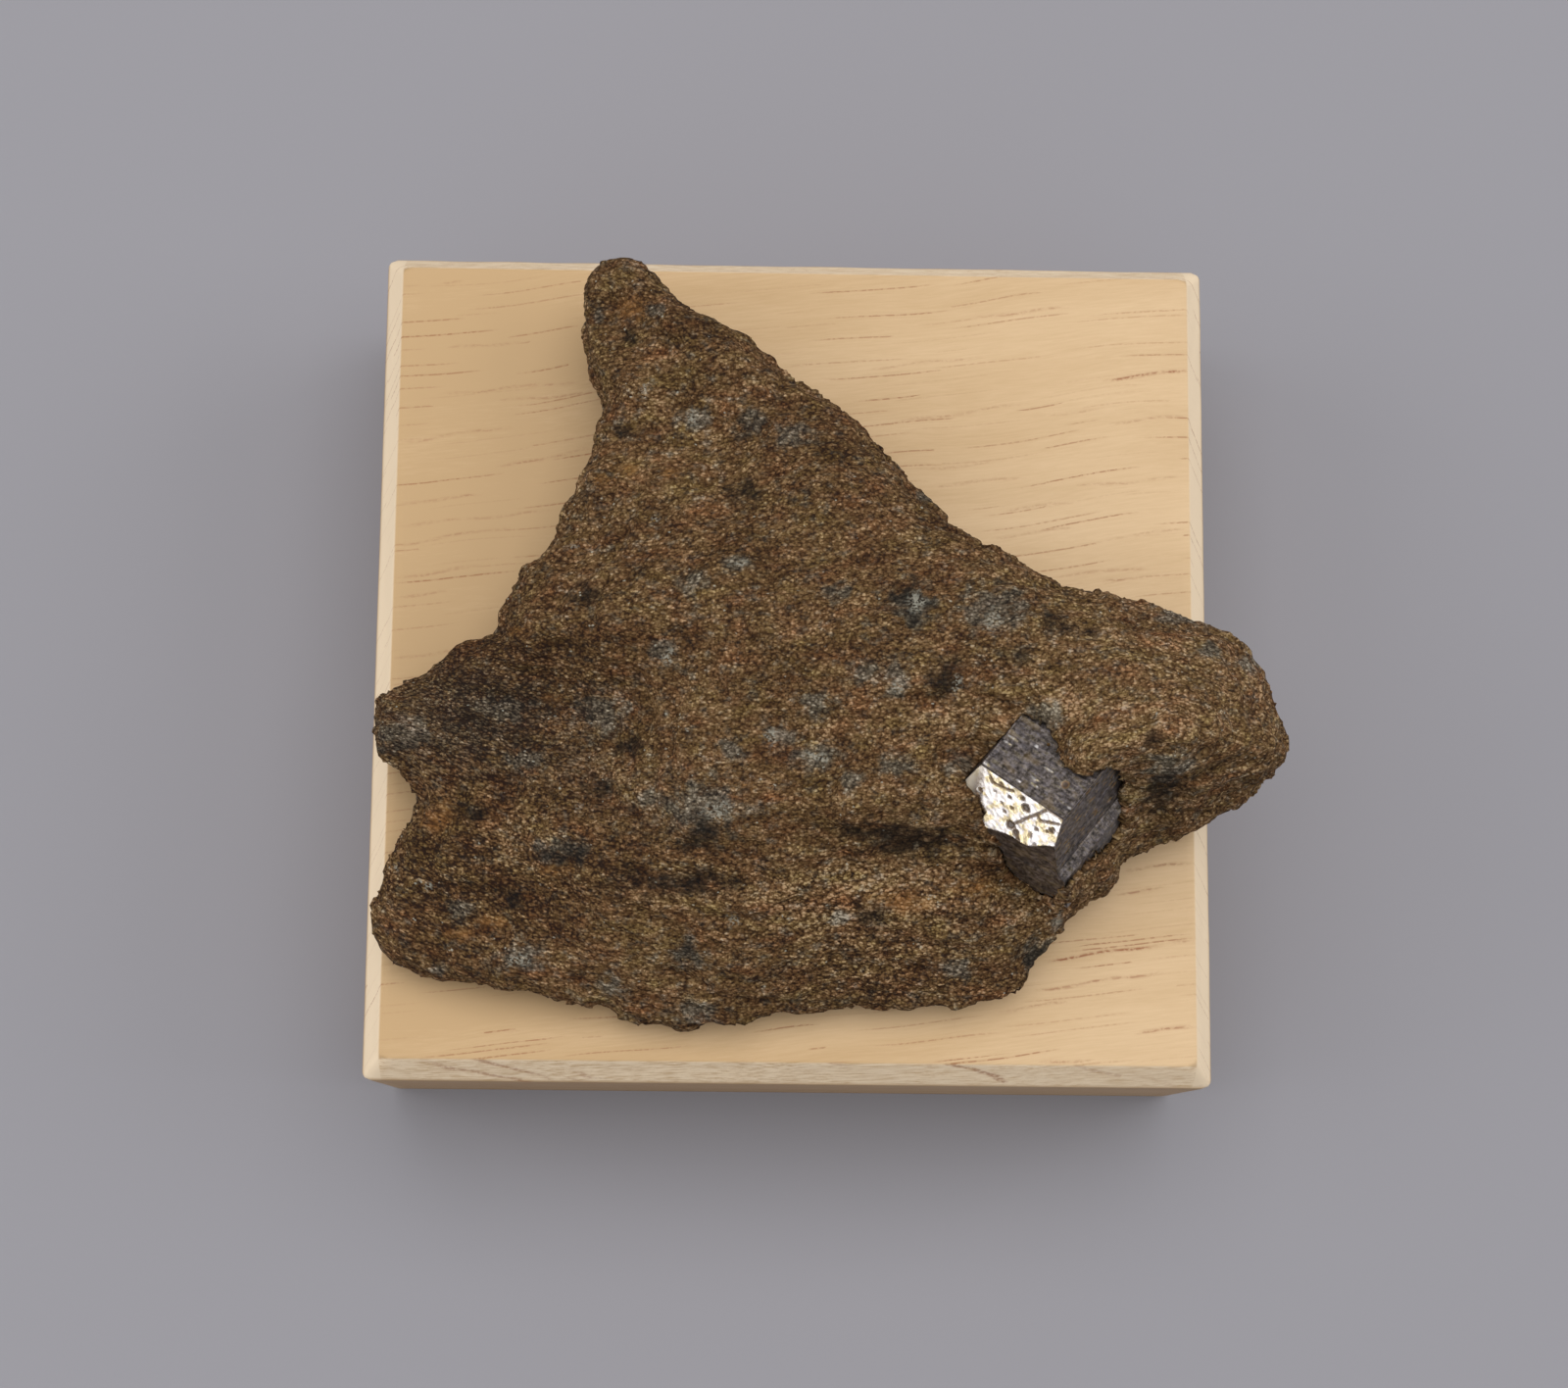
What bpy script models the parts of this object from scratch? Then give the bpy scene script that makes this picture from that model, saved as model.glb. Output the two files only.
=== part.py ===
"""Cobaltite crystal in its schist matrix, standing on a square display block.

Three pieces: the wooden block, the rock and the crystal grown into the rock.
The origin is the middle of the block's underside, +X to the right, +Y to the back, +Z up.
Sizes below are in millimetres, and MM turns them into Blender's metres.
"""

import math

import bmesh
import bpy
import numpy
from mathutils import Matrix, Vector, noise

MM = 0.001
GAP = 0.3
OBJECT_NAME = "cobaltite_specimen"

# Display block
BLOCK_SIDE = 90.0
BLOCK_HEIGHT = 33.0
CHAMFER_IN = 2.2
CHAMFER_DOWN = 4.1
UPRIGHT_EDGE_ROUND = 1.0

# Rock: its outline seen from above, clockwise from the tip of the horn.
# Each point is x, y and the height of the top surface's edge there.
HORN_OUTLINE = [
    (-18.0, 41.1, 46.8), (-15.9, 39.3, 47.2), (-11.3, 35.5, 48.0), (-7.5, 33.1, 48.0),
    (-5.1, 32.0, 47.5), (-1.5, 28.1, 47.0), (2.1, 26.1, 46.5), (5.5, 24.0, 46.5),
]
BACK_OUTLINE = [
    (8.0, 21.1, 46.5), (10.8, 17.8, 46.5), (14.4, 14.5, 47.0), (17.4, 11.8, 47.5),
    (22.0, 9.0, 48.0), (25.5, 7.3, 48.0), (28.0, 5.7, 48.0), (31.6, 5.5, 48.0),
]
RIGHT_LOBE_OUTLINE = [
    (37.1, 3.7, 48.0), (42.2, 2.1, 47.5), (45.7, 0.5, 47.0), (47.7, -1.8, 46.5),
    (49.6, -6.6, 46.5), (51.0, -10.9, 46.0), (49.5, -13.7, 44.0), (46.4, -15.9, 42.5),
    (44.2, -16.7, 41.5), (39.9, -19.8, 41.0), (36.0, -21.4, 41.0),
]
FRONT_OUTLINE = [
    (34.1, -22.4, 41.0), (34.3, -23.3, 40.5), (32.9, -25.4, 40.5), (30.2, -26.6, 40.0),
    (27.7, -29.6, 39.5), (25.0, -33.1, 38.8), (24.5, -34.8, 38.5), (21.7, -36.4, 38.0),
    (18.1, -36.9, 37.8), (12.0, -37.6, 37.8), (7.4, -37.4, 37.8), (1.8, -37.7, 37.8),
    (-4.7, -38.6, 37.8), (-8.8, -39.6, 37.5), (-11.8, -39.8, 37.5), (-15.4, -39.1, 37.8),
    (-19.1, -37.5, 38.0), (-22.0, -37.3, 38.2), (-26.5, -36.7, 38.5), (-32.6, -36.1, 38.5),
]
LEFT_OUTLINE = [
    (-37.7, -34.6, 38.5), (-41.2, -33.2, 38.3), (-43.3, -30.3, 38.5), (-43.5, -27.8, 39.0),
    (-42.2, -23.8, 39.5), (-39.2, -16.7, 40.0), (-41.1, -13.3, 41.0), (-43.2, -12.3, 41.8),
    (-43.6, -8.8, 42.0), (-43.2, -6.0, 42.2), (-38.6, -3.8, 43.5), (-36.1, -1.5, 44.5),
    (-30.7, 0.5, 46.0), (-30.0, 3.8, 46.3), (-28.3, 7.1, 46.5), (-25.5, 9.5, 46.8),
    (-23.3, 14.7, 46.8), (-21.0, 19.4, 46.8), (-21.1, 22.6, 46.5), (-20.1, 24.5, 46.5),
    (-21.9, 28.9, 46.8), (-22.7, 33.6, 46.5), (-22.6, 36.6, 46.8), (-22.2, 38.5, 46.8),
    (-21.0, 39.7, 46.8), (-19.4, 40.7, 46.8),
]
ROCK_OUTLINE = (
    HORN_OUTLINE + BACK_OUTLINE + RIGHT_LOBE_OUTLINE + FRONT_OUTLINE + LEFT_OUTLINE
)

# Spot heights on the rock's top surface, as x, y and z.
HORN_SPOTS = [
    (-19, 38, 47.6), (-20, 35, 46.0), (-17, 31, 47.0), (-20, 31, 46.8), (-13, 33, 49.0),
    (-7, 29, 49.0), (-14, 29, 47.6), (-10, 25, 48.0), (-17, 26, 48.4), (-2, 24, 48.6),
    (-16, 22, 46.9), (-8, 21, 47.6), (3, 21, 48.8),
]
PLATEAU_SPOTS = [
    (-15, 18, 48.0), (-20, 16, 47.4), (-5, 16, 48.8), (-17, 12, 48.6), (-22, 9, 47.4),
    (7, 16, 50.0), (-9, 8, 50.8), (4, 7, 51.5), (13, 8, 51.0), (-25, 3, 48.6),
    (-16, 2, 51.3), (-5, 0, 52.8), (8, -2, 53.8), (20, 2, 53.0), (24, -2, 54.2),
]
SCARP_SPOTS = [
    (-27, 0, 48.2), (-19, -2, 49.8), (-25, -4, 45.4), (-17, -6, 46.8), (-11, -6, 49.3),
    (-7, -6, 51.4),
]
LEFT_LOBE_SPOTS = [
    (-33, -3, 45.6), (-37, -6, 43.6), (-41, -9, 42.6), (-33, -10, 43.0), (-25, -10, 43.6),
    (-19, -10, 44.4), (-31, -15, 42.0), (-38, -15, 40.9),
]
KNOLL_SPOTS = [
    (-11, -10, 49.8), (-5, -10, 50.4), (-2, -15, 50.0), (-9, -14, 49.6), (-12, -18, 48.4),
    (-16, -14, 46.6), (1, -14, 49.6),
]
MIDDLE_SPOTS = [(8, -10, 52.6), (9, -16, 51.2), (14, -9, 52.4), (20, -7, 53.0)]
RIGHT_LOBE_SPOTS = [
    (28, -10, 54.6), (33, -8, 55.2), (39, -6, 54.6), (43, -8, 53.0), (47, -10, 50.0),
    (45, -3, 50.0), (36, 0, 51.6), (31, 2, 51.6), (41, -1, 51.0),
    (34.5, -14, 54.6), (39, -14, 54.0), (44, -13, 52.0), (49, -12, 48.6),
    (37, -18, 44.0), (41, -18, 43.2), (45, -16, 43.2),
]
SOCKET_SPOTS = [
    (28.4, -15.6, 55.0), (27, -15.5, 54.4), (24.5, -11.5, 52.5), (22.5, -9.2, 51.7),
    (20, -11.5, 50.8), (17.5, -14.5, 49.8), (19, -18, 49.2), (21, -20.8, 48.6),
    (22.3, -23.8, 43.4), (23.9, -25.4, 42.4), (26.0, -26.6, 42.7), (27.9, -26.7, 46.6),
    (29, -24.7, 46.4), (31.2, -21.8, 46.1), (33.8, -18, 47.0), (33.4, -15.8, 49.6),
    (31.8, -15.6, 51.0), (30.1, -15.0, 55.9), (32.6, -13.6, 55.8), (30.6, -17.8, 48.2),
    (23.5, -16, 49.5), (26.5, -19.5, 48.0), (29.4, -19.8, 47.0),
]
LEDGE_SPOTS = [
    (-11, -20, 48.2), (-3, -21, 48.0), (5, -20, 50.0), (9, -19, 50.0), (14, -19, 49.8),
    (-7, -23, 46.2), (5, -22, 46.2), (9, -23, 45.4), (15, -22, 45.4), (19.5, -22.6, 45.4),
]
FRONT_SPOTS = [
    (-1, -25, 45.6), (7, -26, 45.0), (15, -25, 44.6), (20, -27, 43.6), (4, -29, 43.6),
    (14, -30, 42.6), (-5, -30, 43.6), (4, -33, 41.0), (15, -33, 40.5), (-5, -35, 41.0),
    (4, -36, 38.8), (15, -36, 38.4), (23, -30, 41.0), (28, -28.3, 40.8), (19, -34, 39.4),
]
FRONT_LEFT_SPOTS = [
    (-25, -19, 44.0), (-19, -18, 45.0), (-33, -21, 41.8), (-38, -21, 40.6), (-33, -24, 41.6),
    (-31, -28, 40.0), (-38, -28, 39.8), (-21, -24, 44.0), (-21, -28, 42.6), (-39, -31, 39.0),
    (-28, -33, 40.2), (-17, -31, 42.2), (-11, -27, 44.6), (-11, -33, 41.4), (-17, -37, 39.0),
    (-12, -38, 38.0),
]
ROCK_SPOTS = (
    HORN_SPOTS + PLATEAU_SPOTS + SCARP_SPOTS + LEFT_LOBE_SPOTS + KNOLL_SPOTS + MIDDLE_SPOTS
    + RIGHT_LOBE_SPOTS + SOCKET_SPOTS + LEDGE_SPOTS + FRONT_SPOTS + FRONT_LEFT_SPOTS
)

# Rock: underside, edges and broken surface
REST_CENTRE = (-2.0, -11.0)
REST_HALF_SIZE = (22.0, 15.0)
REST_EDGE_BAND = (0.95, 1.8)
UNDERSIDE_RISE = 1.0
UNDERCUT_REACH = 8.0
UNDERCUT_SHARE = 0.34
EDGE_ROUND_REACH = 2.2
EDGE_ROUND_DROP = 1.0
LEAST_THICKNESS = 2.2
SLAB_THICKNESS = 9.0
SLAB_VOXEL = 0.6
LUMP_WIDTH = 8.0
LUMP_HEIGHT = 0.6
LUMP_SHIFT = (31.0, 7.0, 3.0)
LUMP_SHARE_AT_EDGE = 0.2
KNOB_WIDTH = 2.4
KNOB_HEIGHT = 0.34
KNOB_SHIFT = (5.0, 47.0, 11.0)
LAYER_THICKNESS = 1.6
LAYER_LENGTH = 13.0
LAYER_TILT = 0.10
BROKEN_LAYER_FINENESS = 1.3
BROKEN_LAYER_STEP = 0.7
BROKEN_LAYER_SHARPNESS = 4.0
BROKEN_LAYER_SINK = 0.6
LEDGE_SHARE = 0.8
LEDGE_RISER = (0.32, 0.68)
LEDGE_PATCH_WIDTH = 9.0
LEDGE_PATCH_SHIFT = 7.5
LEDGE_PATCH_LEVEL = 0.45
REST_FADE = (0.1, 1.6)
EDGE_CALM_REACH = 4.0
SOCKET_CALM_REACH = (7.0, 13.0)
SOCKET_CALM_SHARE = 0.15
SOCKET_CENTRE = (26.5, -18.5)
ROCK_TRIANGLES = 8900

# Crystal: the corner where its top, front and right faces would meet, and the
# directions that the right face and the top face look in.
CRYSTAL_CORNER = (25.0, -21.4, 55.5)
CRYSTAL_RIGHT_NORMAL = (0.739, -0.563, 0.369)
CRYSTAL_TOP_NORMAL = (-0.257, 0.271, 0.928)
CRYSTAL_WIDTH = 12.0
CRYSTAL_DEPTH = 11.0
CRYSTAL_HEIGHT = 14.5
FRONT_BULGE = 3.5
# Faces that cut the block of the crystal, in the crystal's own directions (right, back,
# up from the corner): a point on the face, and the direction that the face looks in.
FRONT_FACE = ((0.0, 0.0, -2.84), (0.175, -0.972, 0.155))
SILVER_FACE = ((0.0, 2.14, 0.0), (0.0, -0.799, 0.602))
LEFT_BEVEL = ((-10.6, 0.0, 0.0), (-0.875, 0.0, 0.485))
BURIED_BEVEL = ((0.0, 11.0, -12.0), (0.0, 0.60, -0.80))
CRYSTAL_CUTS = (FRONT_FACE, SILVER_FACE, LEFT_BEVEL, BURIED_BEVEL)
GROWTH_STEP_TOP = -8.4
GROWTH_STEP = 0.8


def principled(name, colour, roughness, metallic):
    """A plain Principled material."""
    material = bpy.data.materials.new(name)
    material.use_nodes = True
    shader = material.node_tree.nodes["Principled BSDF"]
    shader.inputs["Base Color"].default_value = (*colour, 1.0)
    shader.inputs["Roughness"].default_value = roughness
    shader.inputs["Metallic"].default_value = metallic
    material.diffuse_color = (*colour, 1.0)
    return material


def new_collection(name):
    collection = bpy.data.collections.new(name)
    bpy.context.scene.collection.children.link(collection)
    return collection


def add_object(name, mesh, collection, material=None):
    """Put a mesh in the scene as an object, in metres."""
    mesh.transform(Matrix.Scale(MM, 4))
    if material:
        mesh.materials.clear()
        mesh.materials.append(material)
    result = bpy.data.objects.new(name, mesh)
    collection.objects.link(result)
    return result


def display_block(collection):
    """The wooden block: a square slab, its top edge chamfered and its upright edges eased."""
    shape = bmesh.new()
    size = Vector((BLOCK_SIDE, BLOCK_SIDE, BLOCK_HEIGHT))
    centre = Matrix.Translation((0.0, 0.0, BLOCK_HEIGHT / 2))
    bmesh.ops.create_cube(shape, size=1.0, matrix=centre @ Matrix.Diagonal(size).to_4x4())
    upright = [edge for edge in shape.edges if abs(edge.verts[0].co.z - edge.verts[1].co.z) > 1.0]
    bmesh.ops.bevel(
        shape, geom=upright, offset=UPRIGHT_EDGE_ROUND, segments=3, profile=0.5,
        affect="EDGES",
    )
    below = BLOCK_HEIGHT - CHAMFER_DOWN
    everything = shape.verts[:] + shape.edges[:] + shape.faces[:]
    bmesh.ops.bisect_plane(shape, geom=everything, plane_co=(0, 0, below), plane_no=(0, 0, 1))
    inset = (BLOCK_SIDE / 2 - CHAMFER_IN) / (BLOCK_SIDE / 2)
    for vertex in shape.verts:
        if vertex.co.z > below + 0.5:
            vertex.co.x *= inset
            vertex.co.y *= inset
    mesh = bpy.data.meshes.new("display_block")
    shape.to_mesh(mesh)
    shape.free()
    wood = principled("pale_wood", (0.60, 0.40, 0.22), 0.65, 0.0)
    return add_object("display_block", mesh, collection, wood)


def crystal_mesh(name, grow):
    """The crystal: a block cut by its faces. grow moves every face outwards."""
    low = Vector((-CRYSTAL_WIDTH - grow, -FRONT_BULGE - grow, -CRYSTAL_HEIGHT - grow))
    high = Vector((grow, CRYSTAL_DEPTH + grow, grow))
    shape = bmesh.new()
    place = Matrix.Translation((low + high) / 2) @ Matrix.Diagonal(high - low).to_4x4()
    bmesh.ops.create_cube(shape, size=1.0, matrix=place)
    for point, normal in CRYSTAL_CUTS:
        direction = Vector(normal).normalized()
        everything = shape.verts[:] + shape.edges[:] + shape.faces[:]
        cut = bmesh.ops.bisect_plane(
            shape, geom=everything, plane_co=Vector(point) + direction * grow,
            plane_no=direction, clear_outer=True,
        )
        rim = [item for item in cut["geom_cut"] if isinstance(item, bmesh.types.BMEdge)]
        bmesh.ops.edgeloop_fill(shape, edges=rim)
    step_top = GROWTH_STEP_TOP + grow
    for height in (step_top, step_top - GROWTH_STEP):
        everything = shape.verts[:] + shape.edges[:] + shape.faces[:]
        bmesh.ops.bisect_plane(
            shape, geom=everything, plane_co=(0, 0, height), plane_no=(0, 0, 1),
        )
    for vertex in shape.verts:
        if vertex.co.x > grow - 0.01 and vertex.co.z < step_top - GROWTH_STEP + 0.01:
            vertex.co.x += GROWTH_STEP
    bmesh.ops.triangulate(shape, faces=shape.faces[:])
    bmesh.ops.recalc_face_normals(shape, faces=shape.faces[:])
    mesh = bpy.data.meshes.new(name)
    shape.to_mesh(mesh)
    shape.free()
    right = Vector(CRYSTAL_RIGHT_NORMAL).normalized()
    up = Vector(CRYSTAL_TOP_NORMAL).normalized()
    back = up.cross(right).normalized()
    up = right.cross(back)
    turn = Matrix((right, back, up)).transposed().to_4x4()
    mesh.transform(Matrix.Translation(CRYSTAL_CORNER) @ turn)
    return mesh


def spline_surface(points):
    """A thin plate through spot heights: a function of x and y arrays that gives z."""
    spots = numpy.array(points, dtype=float)
    count = len(spots)

    def bend(distance):
        safe = numpy.maximum(distance, 1e-9)
        return safe ** 2 * numpy.log(safe)

    gaps = numpy.hypot(
        spots[:, 0, None] - spots[None, :, 0], spots[:, 1, None] - spots[None, :, 1]
    )
    plane = numpy.column_stack((numpy.ones(count), spots[:, 0], spots[:, 1]))
    system = numpy.block([[bend(gaps), plane], [plane.T, numpy.zeros((3, 3))]])
    weights = numpy.linalg.solve(system, numpy.concatenate((spots[:, 2], numpy.zeros(3))))

    def height(x, y):
        reach = numpy.hypot(x[:, None] - spots[None, :, 0], y[:, None] - spots[None, :, 1])
        return bend(reach) @ weights[:count] + weights[count] + weights[-2] * x + weights[-1] * y

    return height


def distance_to_outline(x, y):
    """How far each point lies from the rock's outline."""
    nearest = numpy.full(len(x), 1e9)
    for start, end in zip(ROCK_OUTLINE, ROCK_OUTLINE[1:] + ROCK_OUTLINE[:1]):
        along = (end[0] - start[0], end[1] - start[1])
        length_squared = along[0] ** 2 + along[1] ** 2
        share = ((x - start[0]) * along[0] + (y - start[1]) * along[1]) / length_squared
        share = numpy.clip(share, 0.0, 1.0)
        away = numpy.hypot(x - start[0] - share * along[0], y - start[1] - share * along[1])
        nearest = numpy.minimum(nearest, away)
    return nearest


def smooth_step(low, high, value):
    share = numpy.clip((value - low) / (high - low), 0.0, 1.0)
    return share * share * (3.0 - 2.0 * share)


def slab_mesh():
    """A flat slab of the rock's outline, remeshed evenly."""
    curve = bpy.data.curves.new("rock_outline", "CURVE")
    curve.dimensions = "2D"
    curve.fill_mode = "BOTH"
    curve.extrude = SLAB_THICKNESS / 2
    spline = curve.splines.new("POLY")
    spline.points.add(len(ROCK_OUTLINE) - 1)
    for point, (x, y, _) in zip(spline.points, ROCK_OUTLINE):
        point.co = (x, y, 0.0, 1.0)
    spline.use_cyclic_u = True
    holder = bpy.data.objects.new("rock_outline", curve)
    bpy.context.scene.collection.objects.link(holder)
    evaluated = holder.evaluated_get(bpy.context.evaluated_depsgraph_get())
    mesh = bpy.data.meshes.new_from_object(evaluated)
    bpy.data.objects.remove(holder)
    welded = bmesh.new()
    welded.from_mesh(mesh)
    bmesh.ops.remove_doubles(welded, verts=welded.verts, dist=0.001)
    bmesh.ops.recalc_face_normals(welded, faces=welded.faces[:])
    welded.to_mesh(mesh)
    welded.free()

    slab = bpy.data.objects.new("rock_slab", mesh)
    bpy.context.scene.collection.objects.link(slab)
    remesh = slab.modifiers.new("even_faces", "REMESH")
    remesh.mode = "VOXEL"
    remesh.voxel_size = SLAB_VOXEL
    evaluated = slab.evaluated_get(bpy.context.evaluated_depsgraph_get())
    result = bpy.data.meshes.new_from_object(evaluated)
    bpy.data.objects.remove(slab)
    return result


def read_points(mesh):
    points = numpy.empty(len(mesh.vertices) * 3)
    mesh.vertices.foreach_get("co", points)
    return points.reshape(-1, 3)


def write_points(mesh, points):
    mesh.vertices.foreach_set("co", points.ravel())
    mesh.update()


def layer_level(x, y, z):
    """Which of the schist's layers a point lies in: they dip a little to the left."""
    wave = noise.noise(Vector((x / LAYER_LENGTH, y / LAYER_LENGTH, 0.5)))
    return (z + LAYER_TILT * x) / LAYER_THICKNESS + wave


def add_ledges(x, y, top):
    """Turn slopes into small steps where the layers broke, more in some places than others."""
    stepped = top.copy()
    calm = calm_near_socket(x, y)
    for index in range(len(top)):
        level = layer_level(x[index], y[index], top[index])
        within = level - math.floor(level)
        riser = float(smooth_step(*LEDGE_RISER, within))
        place = Vector((x[index], y[index], 0.0)) / LEDGE_PATCH_WIDTH
        patch = noise.noise(place + Vector((0.0, 0.0, LEDGE_PATCH_SHIFT)))
        share = LEDGE_SHARE * min(1.0, max(0.0, LEDGE_PATCH_LEVEL + patch))
        stepped[index] += share * calm[index] * (riser - within) * LAYER_THICKNESS
    return stepped


def calm_near_socket(x, y):
    """From about 0 at the crystal, where the rock follows its spot heights, to 1 away from it."""
    away = numpy.hypot(x - SOCKET_CENTRE[0], y - SOCKET_CENTRE[1])
    return SOCKET_CALM_SHARE + (1.0 - SOCKET_CALM_SHARE) * smooth_step(*SOCKET_CALM_REACH, away)


def shape_rock(mesh):
    """Move the slab's faces to the rock's top surface and underside."""
    points = read_points(mesh)
    x, y = points[:, 0], points[:, 1]
    share = numpy.clip(points[:, 2] / SLAB_THICKNESS + 0.5, 0.0, 1.0)
    inside = distance_to_outline(x, y)
    top = spline_surface(ROCK_OUTLINE + ROCK_SPOTS)(x, y)

    rest = BLOCK_HEIGHT + GAP
    from_rest = numpy.hypot(
        (x - REST_CENTRE[0]) / REST_HALF_SIZE[0], (y - REST_CENTRE[1]) / REST_HALF_SIZE[1]
    )
    bottom = rest + UNDERSIDE_RISE * smooth_step(*REST_EDGE_BAND, from_rest)
    undercut = 1.0 - smooth_step(0.0, UNDERCUT_REACH, inside)
    bottom = bottom + UNDERCUT_SHARE * (top - bottom) * undercut
    round_edge = EDGE_ROUND_DROP * (1.0 - numpy.clip(inside / EDGE_ROUND_REACH, 0.0, 1.0)) ** 2
    top = add_ledges(x, y, top) - round_edge
    top = numpy.maximum(top, bottom + LEAST_THICKNESS)
    points[:, 2] = bottom + share * (top - bottom)
    write_points(mesh, points)


def break_surface(mesh):
    """Lumps, knobs and the broken edges of the schist's layers, off the resting face."""
    points = read_points(mesh)
    normals = numpy.empty(len(points) * 3)
    mesh.vertices.foreach_get("normal", normals)
    normals = normals.reshape(-1, 3)
    steepness = 1.0 - numpy.abs(normals[:, 2])
    free = smooth_step(*REST_FADE, points[:, 2] - BLOCK_HEIGHT - GAP)
    free = free * calm_near_socket(points[:, 0], points[:, 1])
    from_edge = distance_to_outline(points[:, 0], points[:, 1])
    lump_share = LUMP_SHARE_AT_EDGE + (1.0 - LUMP_SHARE_AT_EDGE) * smooth_step(
        0.0, EDGE_CALM_REACH, from_edge
    )
    for index, point in enumerate(points):
        spot = Vector(point)
        lump = noise.noise(spot / LUMP_WIDTH + Vector(LUMP_SHIFT))
        knob = noise.noise(spot / KNOB_WIDTH + Vector(KNOB_SHIFT))
        level = BROKEN_LAYER_FINENESS * layer_level(*point)
        layer = noise.noise(Vector((spot.x / LAYER_LENGTH, spot.y / LAYER_LENGTH, level)))
        broken = math.tanh(BROKEN_LAYER_SHARPNESS * layer) - BROKEN_LAYER_SINK
        out = lump * LUMP_HEIGHT * lump_share[index] + knob * KNOB_HEIGHT
        out += BROKEN_LAYER_STEP * broken * steepness[index]
        points[index] += normals[index] * out * free[index]
    write_points(mesh, points)


def matrix_rock(collection, cutters):
    """The host rock, with the socket that the crystal grew in."""
    mesh = slab_mesh()
    shape_rock(mesh)
    break_surface(mesh)
    stone = principled("brown_schist", (0.115, 0.068, 0.036), 0.85, 0.0)
    rock = add_object("matrix_rock", mesh, collection, stone)

    thin = rock.modifiers.new("fewer_faces", "DECIMATE")
    thin.ratio = ROCK_TRIANGLES / (2 * len(mesh.polygons))

    socket = add_object("crystal_socket", crystal_mesh("crystal_socket", GAP), cutters)
    socket.hide_render = True
    socket.display_type = "WIRE"
    carve = rock.modifiers.new("socket", "BOOLEAN")
    carve.operation = "DIFFERENCE"
    carve.solver = "EXACT"
    carve.object = socket
    return rock


def cobaltite_crystal(collection):
    ore = principled("cobaltite_metal", (0.42, 0.41, 0.42), 0.35, 1.0)
    return add_object("cobaltite_crystal", crystal_mesh("cobaltite_crystal", 0.0), collection, ore)


def main():
    for old in list(bpy.data.objects):
        bpy.data.objects.remove(old)
    parts = new_collection(OBJECT_NAME)
    cutters = new_collection("cutters")
    display_block(parts)
    matrix_rock(parts, cutters)
    cobaltite_crystal(parts)


main()
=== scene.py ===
import math

import bmesh
import bpy
import numpy
from mathutils import Euler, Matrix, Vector, noise


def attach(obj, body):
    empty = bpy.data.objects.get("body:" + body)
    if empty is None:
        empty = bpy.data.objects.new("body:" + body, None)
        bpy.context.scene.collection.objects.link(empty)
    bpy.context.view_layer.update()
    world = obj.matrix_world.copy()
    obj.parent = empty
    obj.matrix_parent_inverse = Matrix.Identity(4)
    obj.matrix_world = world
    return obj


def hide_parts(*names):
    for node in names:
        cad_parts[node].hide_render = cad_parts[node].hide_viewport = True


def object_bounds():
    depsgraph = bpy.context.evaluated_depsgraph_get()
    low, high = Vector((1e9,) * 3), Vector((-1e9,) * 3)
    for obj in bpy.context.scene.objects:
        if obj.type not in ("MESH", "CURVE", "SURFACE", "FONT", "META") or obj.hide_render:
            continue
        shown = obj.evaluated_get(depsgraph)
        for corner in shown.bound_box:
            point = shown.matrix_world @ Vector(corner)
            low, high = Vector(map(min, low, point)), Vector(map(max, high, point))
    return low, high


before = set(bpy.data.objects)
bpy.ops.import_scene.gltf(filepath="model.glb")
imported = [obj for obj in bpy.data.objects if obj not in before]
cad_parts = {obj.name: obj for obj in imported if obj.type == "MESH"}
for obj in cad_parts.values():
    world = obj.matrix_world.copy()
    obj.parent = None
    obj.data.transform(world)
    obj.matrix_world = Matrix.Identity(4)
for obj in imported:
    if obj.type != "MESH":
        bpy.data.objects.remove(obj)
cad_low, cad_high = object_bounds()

MM = 0.001


# Display block. The real one is a square of pale, ring-porous hardwood, 90 mm a side and 33 mm
# thick, sawn and sanded, its top edge planed to a steep narrow chamfer. The grain runs from left
# to right and rises a little to the right, and it is left bare, without varnish.
BLOCK_SIDE = 90.0
BLOCK_HEIGHT = 33.0
TOP_SIDE = 85.4
GRAIN_COLUMNS = 90
GRAIN_ROWS = 440
CORNER_ROUND = 1.0
CHAMFER_FOOT = 28.4
SIDE_START = 42.7
SANDING_WAVE = 0.03
PLANED_DEPTH = 0.05
FIBRE_DEPTH = 0.12
VESSEL_DEPTH = 0.05
VESSEL_DASH = 0.9
# The rim's way down: each step's side length and its depth below the top
BLOCK_PROFILE = [
    (85.68, 0.06), (85.98, 0.32), (86.9, 1.2), (87.85, 2.1), (88.8, 3.0), (89.6, 3.75),
    (89.92, 4.12), *((BLOCK_SIDE, depth) for depth in (4.5, 8.0, 12.0, 16.0, 20.0, 24.0, 28.0)),
    (BLOCK_SIDE, 32.4), (89.8, 32.85), (89.4, BLOCK_HEIGHT),
]
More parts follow.
